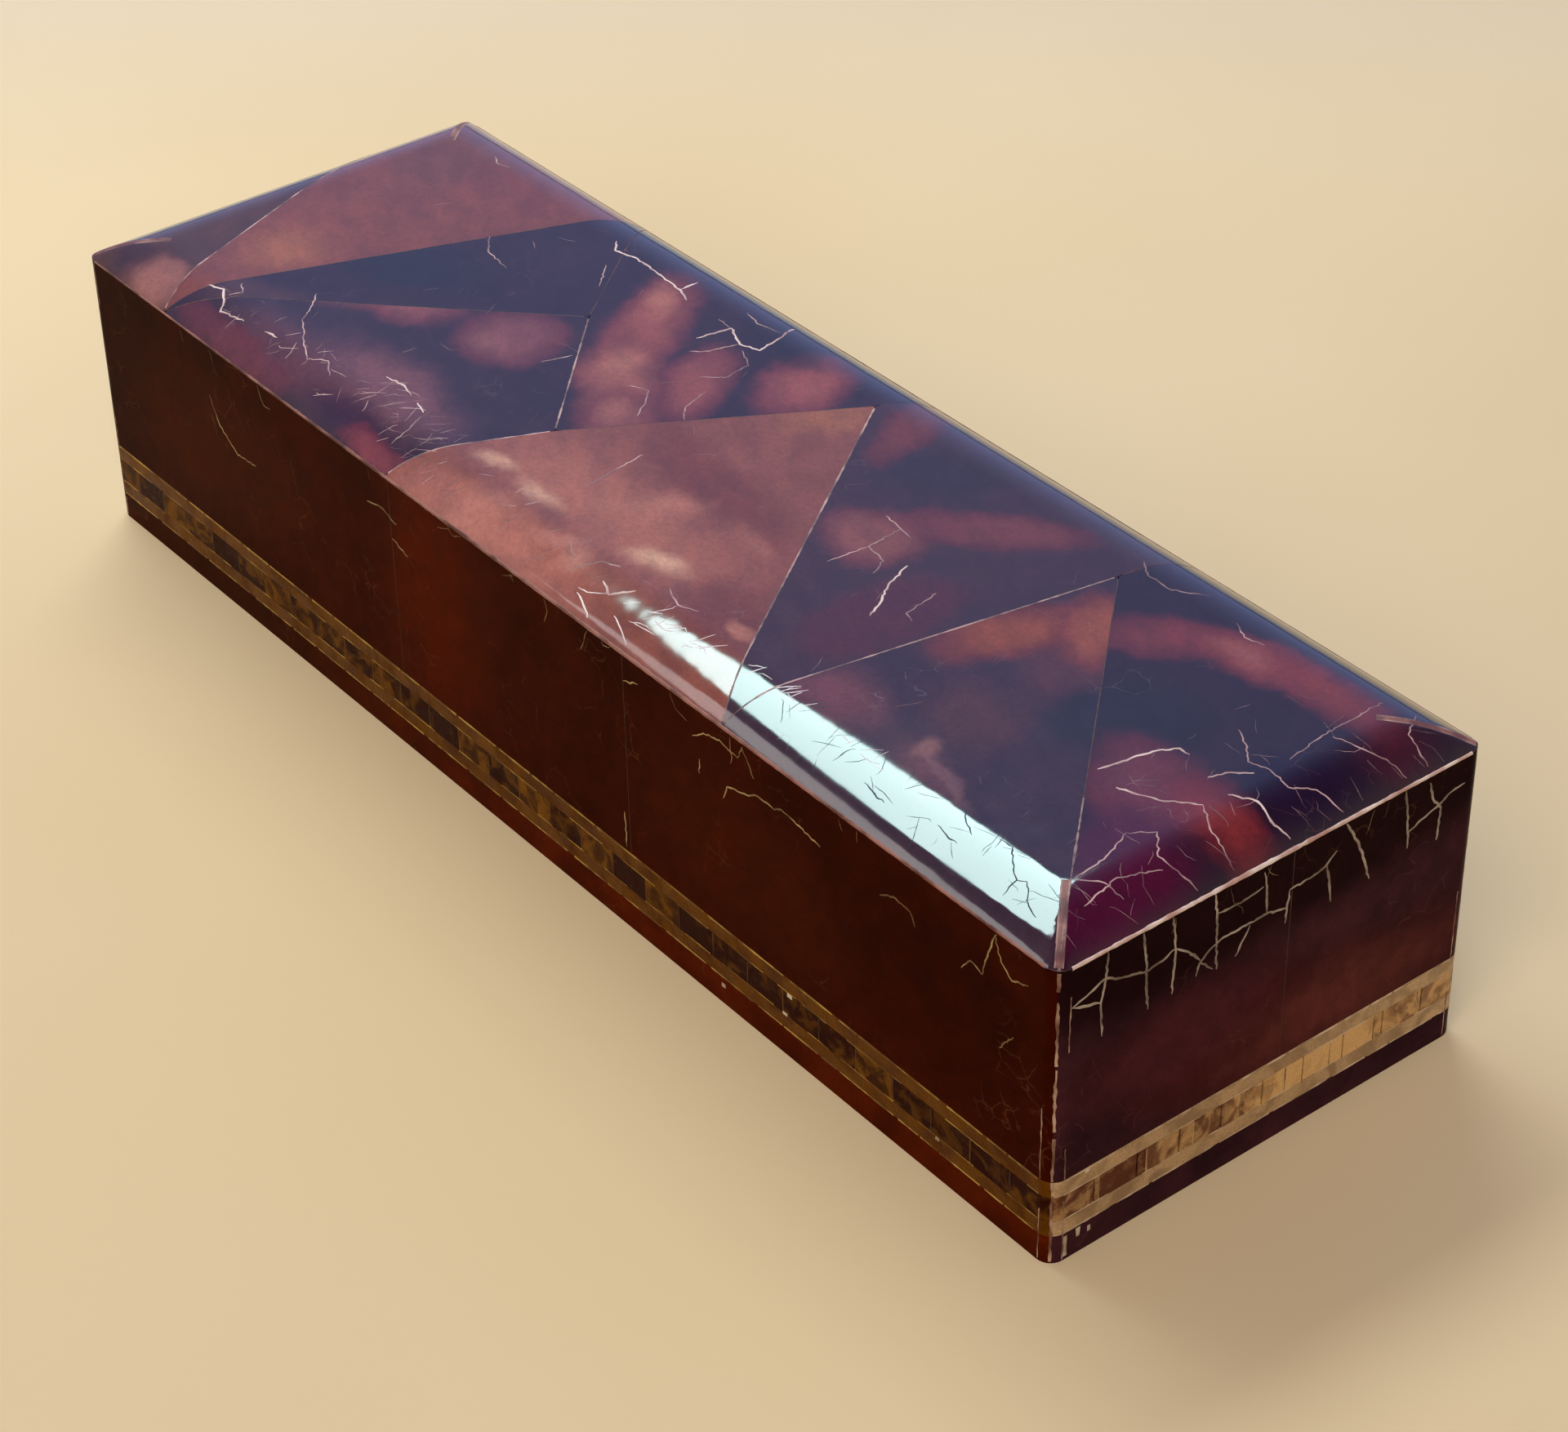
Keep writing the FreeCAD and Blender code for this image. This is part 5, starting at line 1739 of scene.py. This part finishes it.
# Where the bare chips are: face, place along it, foot, head and half width, in millimetres.
CHIPS = (
    (Side.FRONT, 82.0, 13.6, 14.4, 0.8),
    (Side.FRONT, 80.6, 8.9, 9.5, 0.7),
    (Side.FRONT, 121.7, 8.4, 9.1, 0.6),
    (Side.FRONT, 62.8, 3.8, 4.6, 0.7),
    (Side.RIGHT, -44.0, 0.8, 5.2, 0.5),
    (Side.RIGHT, -41.2, 3.6, 5.5, 0.55),
    (Side.RIGHT, -38.8, 3.4, 4.6, 0.45),
    (Side.RIGHT, -39.6, 16.8, 17.6, 0.5),
    (Side.RIGHT, 41.7, 16.4, 17.6, 0.6),
    (Side.LEFT, 40.0, 1.0, 4.0, 0.34),
    (Side.BACK, -140.0, 1.2, 5.0, 0.34),
)


@dataclass
class BandLines:
    """Filler in the joints of the row, pale edges of the strips, and small bare chips."""

    box: BoxFrame
    lines: SeamLines
    row_piece: float = ROW_PIECE * MM
    joint_end: float = 0.2 * MM
    joint_width: float = 0.17 * MM
    below_rim: float = 0.3 * MM
    foot_width: float = 0.2 * MM
    row_edge_width: float = 0.12 * MM
    head_width: float = 0.24 * MM
    outer_share: float = 0.9
    inner_share: float = 0.6

    def build(self) -> None:
        """Makes the three sets of lines."""
        row_foot, row_head = (corner.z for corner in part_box("row_shells_front"))
        strip_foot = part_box("lower_strip_front")[0].z
        strip_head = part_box("upper_strip_front")[1].z - self.below_rim
        levels = ((strip_foot, self.outer_share, self.foot_width),
                  (row_foot, self.inner_share, self.row_edge_width),
                  (row_head, self.inner_share, self.row_edge_width),
                  (strip_head, self.outer_share, self.head_width))
        long_fillers, end_fillers, long_edges, end_edges = [], [], [], []
        for side in Side:
            half = self.box.half_length if side.long else self.box.half_width
            fillers, edges = (long_fillers, long_edges) if side.long else (end_fillers, end_edges)
            count = round(2.0 * half / self.row_piece)
            for i in range(1, count):
                along = -half + 2.0 * half * i / count
                foot, head = row_foot + self.joint_end, row_head - self.joint_end
                fillers.append(self.lines.wall_line(side, along, foot, head, self.joint_width))
            reach = half - self.box.corner
            for level, share, width in levels:
                edges += self.lines.level_lines(side, level, reach, share, width)
        chips = [self.lines.wall_line(side, along * MM, low * MM, high * MM, width * MM)
                 for side, along, low, high, width in CHIPS]
        tree = self.lines.tree
        # The long faces' fillers and strip edges are darker copies of those on the ends: painted shade, like
        # the band they lie on.
        line_piece(tree, "long_row_fillers", long_fillers, DARK_FILLER, Body.BASE, Slot.BAND)
        line_piece(tree, "end_row_fillers", end_fillers, FILLER_LINE, Body.BASE, Slot.BAND)
        line_piece(tree, "long_strip_edges", long_edges, FRONT_FILLER, Body.BASE, Slot.STRIP)
        line_piece(tree, "end_strip_edges", end_edges, END_FILLER, Body.BASE, Slot.STRIP)
        line_piece(tree, "bare_chips", chips, CHIP_LINE, Body.BASE, Slot.SIDE)


# The front and back panels share a darker, browner copy of the shell than the ends: painted shade with a
# painted reflection of a warm table.
FRONT_SHADED_DEEP = shade(38, 5, 0)
FRONT_SHADED_WARM = shade(64, 14, 0)
SIDE_HAIR = shade(120, 76, 52)
SIDE_GLOSS = {"crack_colour": SIDE_HAIR, "crack_share": 0.2, "least_rough": 0.16, "most_rough": 0.3,
              "specular": 0.008, "coat": 0.0, "rim": shade(44, 8, 4)}
SIDE_FINISHES = {
    Side.FRONT: ShellFinish("shell_front", FRONT_SHADED_DEEP, FRONT_SHADED_WARM, (
        Cloud(shade(88, 24, 0), (-24, 40), (18, 28), 0, 0.6, 0.9),
        Cloud(shade(68, 20, 0), (70, 34), (30, 16), 0, 0.5),
        Cloud(shade(68, 22, 0), (-100, 36), (34, 18), 0, 0.5),
    ), Plane.LENGTHWISE, 26.0, 0.6, **SIDE_GLOSS),
    Side.BACK: ShellFinish("shell_back", FRONT_SHADED_DEEP, FRONT_SHADED_WARM, (
        Cloud(shade(80, 28, 6), (40, 40), (24, 20), 0, 0.6),
        Cloud(shade(68, 26, 6), (-70, 34), (30, 16), 0, 0.5),
    ), Plane.LENGTHWISE, 26.0, 0.6, **SIDE_GLOSS),
    Side.RIGHT: ShellFinish("shell_right", shade(46, 22, 28), shade(74, 36, 42), (
        # A lighter, redder patch low on the right end, towards the back: painted reflection of a warm table.
        Cloud(shade(94, 45, 42), (14, 24), (30, 9), 0, 0.85, 0.8),
        Cloud(shade(80, 36, 42), (-18, 34), (22, 10), 0, 0.6),
        Cloud(shade(24, 6, 8), (0, 58), (70, 13), 0, 0.9, 0.4, 0.0),
    ), Plane.CROSSWISE, 34.0, 0.6, **SIDE_GLOSS),
    Side.LEFT: ShellFinish("shell_left", shade(34, 10, 10), shade(62, 22, 18), (
        Cloud(shade(84, 36, 26), (-16, 30), (26, 12), 0, 0.7),
    ), Plane.CROSSWISE, 34.0, 0.6, **SIDE_GLOSS),
}
PLINTH_FINISH = ShellFinish("shell_plinth", shade(62, 14, 0), shade(92, 28, 2), (
    Cloud(shade(42, 14, 2), (-112, 3), (72, 20), 0, 0.8, 0.9, 0.0),
), Plane.LENGTHWISE, 60.0, 0.6, **SIDE_GLOSS)


@dataclass
class LidSides:
    """The shell panels of the lid's four upright faces."""

    counts: tuple[tuple[Side, int], ...] = ((Side.FRONT, 3), (Side.BACK, 3), (Side.RIGHT, 2), (Side.LEFT, 2))

    def build(self) -> None:
        """Dresses the panels and the plinth below them."""
        warm_plinth = PLINTH_FINISH.material()
        for side, count in self.counts:
            material = SIDE_FINISHES[side].material()
            dress(material, *(f"lid_{side.value}_shell_{i + 1}" for i in range(count)))
            dress(warm_plinth if side.long else material, f"plinth_shell_{side.value}")


@dataclass
class Band:
    """The two brass strips and the row of small shells between them."""

    box: BoxFrame
    row_piece: float = ROW_PIECE
    right_honey: Plan = (-3.0, 24.0)
    left_honey: float = 10.0

    def build(self) -> None:
        """Dresses the band on all four sides; the front and back get darker, browner copies of the strips and
        the row, as painted shade.
        """
        half_length, half_width = self.box.half_length / MM, self.box.half_width / MM
        end_pitch = 2.0 * half_width / round(2.0 * half_width / self.row_piece)
        brown, honey = shade(92, 42, 24), shade(226, 178, 116)
        lengthwise = {"along": 0, "pitch": self.row_piece, "start_at": -half_length}
        crosswise = {"along": 1, "pitch": end_pitch, "start_at": -half_width}
        rows = {
            # The front and back rows are darker copies of the end rows: painted shade.
            Side.FRONT: BandFinish("row_front", shade(42, 4, 0), shade(132, 84, 14), **lengthwise,
                                   range_share=0.5, specular=0.02),
            Side.BACK: BandFinish("row_back", shade(60, 18, 4), shade(140, 92, 34), **lengthwise),
            Side.RIGHT: BandFinish("row_right", brown, honey, **crosswise, honey_from=self.right_honey[0],
                                   honey_to=self.right_honey[1], range_share=0.45),
            Side.LEFT: BandFinish("row_left", brown, honey, **crosswise, honey_from=self.left_honey),
        }
        # The front and back strips are a darker, olive copy of the ends' brass: painted shade with a painted
        # reflection of a warm table.
        dull = BrassFinish("strip_brass_painted_shade", shade(112, 68, 2), shade(74, 34, 0), 0.5, 0.4, 0.03)
        clear = BrassFinish("strip_brass", shade(212, 180, 140), shade(144, 116, 86), 0.45, 0.6)
        metals = {Side.FRONT: dull.material(), Side.RIGHT: clear.material()}
        metals[Side.BACK], metals[Side.LEFT] = metals[Side.FRONT], metals[Side.RIGHT]
        for side, finish in rows.items():
            dress(finish.material(), f"row_shells_{side.value}")
            dress(metals[side], f"lower_strip_{side.value}", f"upper_strip_{side.value}")


@dataclass
class Hinges:
    """The two brass hinges on the back, with slotted screws in place of the plain ones."""

    spacing: float = 170.0 * MM
    screw_spacing: float = 14.0 * MM
    head_radius: float = 1.48 * MM
    head_height: float = 0.4 * MM
    shank_radius: float = 0.7 * MM
    shank_length: float = 4.4 * MM
    slot_width: float = 0.32 * MM
    slot_depth: float = 0.22 * MM
    rounds: int = 20
    seed: int = 7

    def screw_mesh(self) -> Mesh:
        """One slotted screw, a closed mesh, head upwards with the head's face at the origin."""
        half = self.slot_width / 2.0
        reach = math.sqrt(self.head_radius ** 2 - half ** 2)
        start = math.asin(half / self.head_radius)
        points, faces, arcs = [], [], []
        for turn in (0.0, math.pi):
            spots = []
            steps = self.rounds // 2
            for i in range(steps + 1):
                angle = turn + start + (math.pi - 2.0 * start) * i / steps
                spots.append((self.head_radius * math.cos(angle), self.head_radius * math.sin(angle)))
            arcs.append(spots)
        def ring(spots: Sequence[Plan], level: float) -> list[int]:
            """Adds points at one level and returns their numbers."""
            first = len(points)
            points.extend((a, b, level) for a, b in spots)
            return list(range(first, len(points)))
        tops = [ring(spots, 0.0) for spots in arcs]
        slot_spots = [(reach, half), (-reach, half), (-reach, -half), (reach, -half)]
        slot = ring(slot_spots, -self.slot_depth)
        whole = arcs[0] + arcs[1]
        skirt = ring(whole, -self.head_height)
        shank, head = self.shank_radius, self.head_radius
        shank_spots = [(a * shank / head, b * shank / head) for a, b in whole]
        neck = ring(shank_spots, -self.head_height)
        foot = ring(shank_spots, -self.head_height - self.shank_length)
        faces += [tuple(tops[0]), tuple(tops[1]), tuple(slot)]
        faces.append((tops[0][0], tops[0][-1], slot[1], slot[0]))
        faces.append((tops[1][0], tops[1][-1], slot[3], slot[2]))
        upper = tops[0] + tops[1]
        count = len(upper)
        for i in range(count):
            after = (i + 1) % count
            if i == len(tops[0]) - 1:
                faces.append((skirt[i], skirt[after], upper[after], slot[2], slot[1], upper[i]))
            elif i == count - 1:
                faces.append((skirt[i], skirt[after], upper[after], slot[0], slot[3], upper[i]))
            else:
                faces.append((skirt[i], skirt[after], upper[after], upper[i]))
            faces.append((neck[i], neck[after], skirt[after], skirt[i]))
            faces.append((foot[i], foot[after], neck[after], neck[i]))
        faces.append(tuple(foot[::-1]))
        mesh = bpy.data.meshes.new("screw")
        mesh.from_pydata(points, [], faces)
        mesh.validate()
        return mesh

    def build(self) -> None:
        """Dresses the leaves and pins, and sets the screws."""
        brass = BrassFinish("hinge_brass", shade(190, 148, 84), shade(104, 72, 36), 0.4).material()
        dress(brass, *(f"{body.value}_hinge_leaf_{end}" for body in Body for end in ("left", "right")))
        dress(brass, "hinge_pin_left", "hinge_pin_right")
        pattern = new_piece("screw_pattern", self.screw_mesh())
        tree = screw_tree()
        draws = random.Random(self.seed)
        for body in Body:
            node = f"{body.value}_hinge_screws"
            low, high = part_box(node)
            middle = (low.y + high.y) / 2.0
            level, tilt = (high.z, 0.0) if body is Body.BASE else (low.z, math.pi)
            spots, turns = [], []
            for hinge in (-0.5, 0.5):
                for screw in (-0.5, 0.5):
                    spots.append((hinge * self.spacing + screw * self.screw_spacing, middle, level))
                    turns.append(Vector((tilt, 0.0, draws.uniform(0.0, math.pi))))
            mesh = bpy.data.meshes.new(node)
            mesh.from_pydata(spots, [], [])
            facts = mesh.attributes.new("slot_turn", "FLOAT_VECTOR", "POINT").data
            for fact, turn in zip(facts, turns):
                fact.vector = turn
            piece = tree.run(f"slotted_{node}", mesh, {"Screw": pattern, "Material": brass})
            declare(piece, body, Slot.HINGE, node)
        bpy.data.objects.remove(pattern)


@dataclass
class Interior:
    """The bare wood inside, and the felt on the tray floor."""

    felt_cells: tuple[int, int] = (70, 20)
    felt_play: float = 0.3 * MM
    felt_wave: float = 0.16 * MM
    felt_seed: int = 19
    phase_range: float = 6.28
    # Radians per metre in the two directions, and strength, of each of the two swells.
    swells: tuple[Spot, Spot] = ((60.0, 110.0, 1.0), (150.0, 90.0, 0.5))

    def build_wood(self) -> None:
        """Dresses boards, walls and liner, each with its grain along its length."""
        light, dark = shade(186, 138, 86), shade(138, 92, 52)
        along_x, along_y = (14.0, 190.0, 190.0), (190.0, 14.0, 190.0)
        long_wood = WoodFinish("wood_long", light, dark, along_x).material()
        end_wood = WoodFinish("wood_end", light, dark, along_y).material()
        liner_light, liner_dark = shade(150, 98, 58), shade(104, 62, 34)
        liner_long = WoodFinish("liner_long", liner_light, liner_dark, along_x, 0.42).material()
        liner_end = WoodFinish("liner_end", liner_light, liner_dark, along_y, 0.42).material()
        dress(long_wood, "lid_top_board", "base_floor_board")
        for side in Side:
            dress(long_wood if side.long else end_wood, f"lid_{side.value}_wall", f"base_{side.value}_wall")
            dress(liner_long if side.long else liner_end, f"liner_{side.value}")

    def build_felt(self) -> None:
        """Lays the felt, a little slack, on the tray floor."""
        low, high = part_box("base_felt")
        play = self.felt_play
        width, depth = high.x - low.x - 2.0 * play, high.y - low.y - 2.0 * play
        columns, rows = self.felt_cells
        points, faces = [], []
        thick = high.z - low.z - self.felt_wave
        draws = random.Random(self.felt_seed)
        phases = [[draws.uniform(0.0, self.phase_range) for _ in range(2)] for _ in self.swells]
        for layer in (1.0, 0.0):
            for row in range(rows + 1):
                for column in range(columns + 1):
                    across = low.x + play + width * column / columns
                    along = low.y + play + depth * row / rows
                    wave = 0.0
                    for (first, second, strength), (one, other) in zip(self.swells, phases):
                        wave += strength * math.sin(across * first + one) * math.sin(along * second + other)
                    lift = self.felt_wave * (0.5 + wave / 3.0)
                    points.append((across, along, low.z + layer * (thick + lift)))
        count = (columns + 1) * (rows + 1)
        def spot(column: int, row: int) -> int:
            """The number of a point of the upper layer."""
            return row * (columns + 1) + column
        for row in range(rows):
            for column in range(columns):
                corners = ((column, row), (column + 1, row), (column + 1, row + 1), (column, row + 1))
                square = tuple(spot(*corner) for corner in corners)
                faces.append(square)
                faces.append(tuple(i + count for i in reversed(square)))
        rim = [spot(i, 0) for i in range(columns)] + [spot(columns, i) for i in range(rows)]
        rim += [spot(i, rows) for i in range(columns, 0, -1)] + [spot(0, i) for i in range(rows, 0, -1)]
        for i, start in enumerate(rim):
            end = rim[(i + 1) % len(rim)]
            faces.append((end, start, start + count, end + count))
        mesh = bpy.data.meshes.new("tray_felt")
        mesh.from_pydata(points, [], faces)
        mesh.materials.append(FeltFinish("tray_felt", shade(78, 18, 26), shade(112, 40, 44)).material())
        piece = new_piece("tray_felt", mesh)
        declare(piece, Body.BASE, Slot.FELT, "base_felt")


FLOOR_FINISH = FloorFinish("studio_floor", shade(230, 206, 164), shade(224, 198, 154), shade(176, 186, 200))


@dataclass
class Studio:
    """The pale floor, the soft lights, the surroundings and the camera."""

    floor_half: float = 14.0
    window_size: Plan = (0.46, 1.10)
    window_place: Spot = (-0.64, 0.19, 1.03)
    window_watts: float = 11.5
    window_light: Spot = (0.86, 0.95, 1.0)
    pane_watts: float = 7.5
    pane_light: Spot = (0.48, 1.0, 0.87)
    pane_drop: float = 0.01
    sill_size: Plan = (0.34, 0.14)
    sill_place: Spot = (-0.66, -0.56, 0.84)
    sill_watts: float = 0.5
    sill_light: Spot = (1.0, 0.95, 0.92)
    sill_aim: Spot = (0.1, 0.0, 0.06)
    key_size: float = 1.1
    key_place: Spot = (0.75, -1.0, 1.25)
    key_watts: float = 15.0
    key_light: Spot = (1.0, 0.95, 0.9)
    key_aim: Spot = (0.0, 0.0, 0.03)
    cool_way: Spot = (-0.66, 0.5, 0.56)
    warm_room: Colour = (0.42, 0.39, 0.35, 1.0)
    cool_room: Colour = (0.32, 0.42, 0.82, 1.0)
    dim_ceiling: Colour = (0.08, 0.05, 0.09, 1.0)
    azimuth: float = 52.448
    elevation: float = 35.598
    roll: float = -1.147
    distance: float = 0.691962
    target: Spot = (0.033573, -0.010275, 0.03)
    lens: float = 86.39
    film_width: float = 36.0
    nearest: float = 0.01

    def build_floor(self) -> None:
        """Lays a level pale floor under the box."""
        half = self.floor_half
        mesh = bpy.data.meshes.new("studio_floor")
        corners = [(-half, -half, 0.0), (half, -half, 0.0), (half, half, 0.0), (-half, half, 0.0)]
        mesh.from_pydata(corners, [], [(0, 1, 2, 3)])
        mesh.materials.append(FLOOR_FINISH.material())
        new_piece("studio_floor", mesh)

    def lamp(self, name: str, place: Sequence[float], size: Plan, watts: float,
             colour: Spot, aim: Spot | None, shape: str = "RECTANGLE") -> Piece:
        """Adds one soft area lamp.

        Args:
            name: the lamp's name.
            place: where it hangs.
            size: its two sides.
            watts: its power.
            colour: its light.
            aim: what it faces, or None to face straight down.
            shape: its outline.

        Returns:
            The lamp.
        """
        light = bpy.data.lights.new(name, "AREA")
        light.shape = shape
        light.size, light.size_y = size
        light.energy = watts
        light.color = colour
        lamp = bpy.data.objects.new(name, light)
        bpy.context.scene.collection.objects.link(lamp)
        lamp.location = place
        if aim is not None:
            lamp.rotation_euler = (Vector(aim) - Vector(place)).to_track_quat("-Z", "Y").to_euler()
        return lamp

    def build_lights(self) -> None:
        """Hangs the window that gives the bevel its streak, and a broad key from the front."""
        place, size = self.window_place, self.window_size
        self.lamp("window", place, size, self.window_watts, self.window_light, None, "ELLIPSE")
        below = Vector(place) - Vector((0.0, 0.0, self.pane_drop))
        pane = self.lamp("pane", below, size, self.pane_watts, self.pane_light, None, "ELLIPSE")
        pane.visible_diffuse = False
        self.lamp("sill", self.sill_place, self.sill_size, self.sill_watts, self.sill_light, self.sill_aim)
        key_size = (self.key_size, self.key_size)
        self.lamp("key", self.key_place, key_size, self.key_watts, self.key_light, self.key_aim)

    def build_world(self) -> None:
        """Surrounds the box with a soft room: cool behind, warm in front, dim overhead."""
        world = bpy.data.worlds.new("soft_room")
        world.use_nodes = True
        wiring = Wiring(world.node_tree)
        world.node_tree.nodes.clear()
        way = wiring.add("ShaderNodeTexCoord").outputs["Generated"]
        axes = wiring.add("ShaderNodeSeparateXYZ", {0: way}).outputs
        cool = wiring.spread(wiring.dot(way, self.cool_way), 0.3, 0.85, 0.0, 1.0)
        sides = wiring.mix(cool, self.warm_room, self.cool_room)
        overhead = wiring.spread(axes[2], 0.56, 0.86, 0.0, 1.0)
        colour = wiring.mix(overhead, sides, self.dim_ceiling)
        shine = wiring.add("ShaderNodeBackground", {"Color": colour, "Strength": 1.0})
        wiring.add("ShaderNodeOutputWorld", {"Surface": shine.outputs[0]})
        bpy.context.scene.world = world

    def build_camera(self) -> None:
        """Stands the camera where the box is seen from its front right corner."""
        turn, lift, lean = (math.radians(angle) for angle in (self.azimuth, self.elevation, self.roll))
        back = Vector((math.sin(turn) * math.cos(lift), -math.cos(turn) * math.cos(lift), math.sin(lift)))
        level = Vector((math.cos(turn), math.sin(turn), 0.0))
        above = back.cross(level)
        right = level * math.cos(lean) + above * math.sin(lean)
        up = above * math.cos(lean) - level * math.sin(lean)
        camera = bpy.data.cameras.new("camera")
        camera.sensor_fit = "HORIZONTAL"
        camera.sensor_width = self.film_width
        camera.lens = self.lens
        camera.clip_start = self.nearest
        stand = bpy.data.objects.new("camera", camera)
        bpy.context.scene.collection.objects.link(stand)
        matrix = Matrix((right, up, back)).transposed().to_4x4()
        matrix.translation = Vector(self.target) + back * self.distance
        stand.matrix_world = matrix
        bpy.context.scene.camera = stand
        bpy.context.scene.view_settings.view_transform = "Standard"

    def build(self) -> None:
        """Sets the whole studio."""
        self.build_floor()
        self.build_lights()
        self.build_world()
        self.build_camera()


def main() -> None:
    """Builds and dresses every sub-assembly in order."""
    logging.basicConfig(level=logging.INFO)
    box = BoxFrame.read()
    top = PillowTop(box)
    top.build()
    tree = line_tree(LineForm.RIBBON)
    seams = SeamLines(box, top, tree, line_tree(LineForm.ROD))
    seams.build_seams()
    seams.build_edges()
    seams.build_corners()
    BandLines(box, seams).build()
    crazing = Crazing(box, top, tree)
    crazing.build_top()
    crazing.build_sides()
    LidSides().build()
    Band(box).build()
    Hinges().build()
    interior = Interior()
    interior.build_wood()
    interior.build_felt()
    Studio().build()


if __name__ == "__main__":
    main()
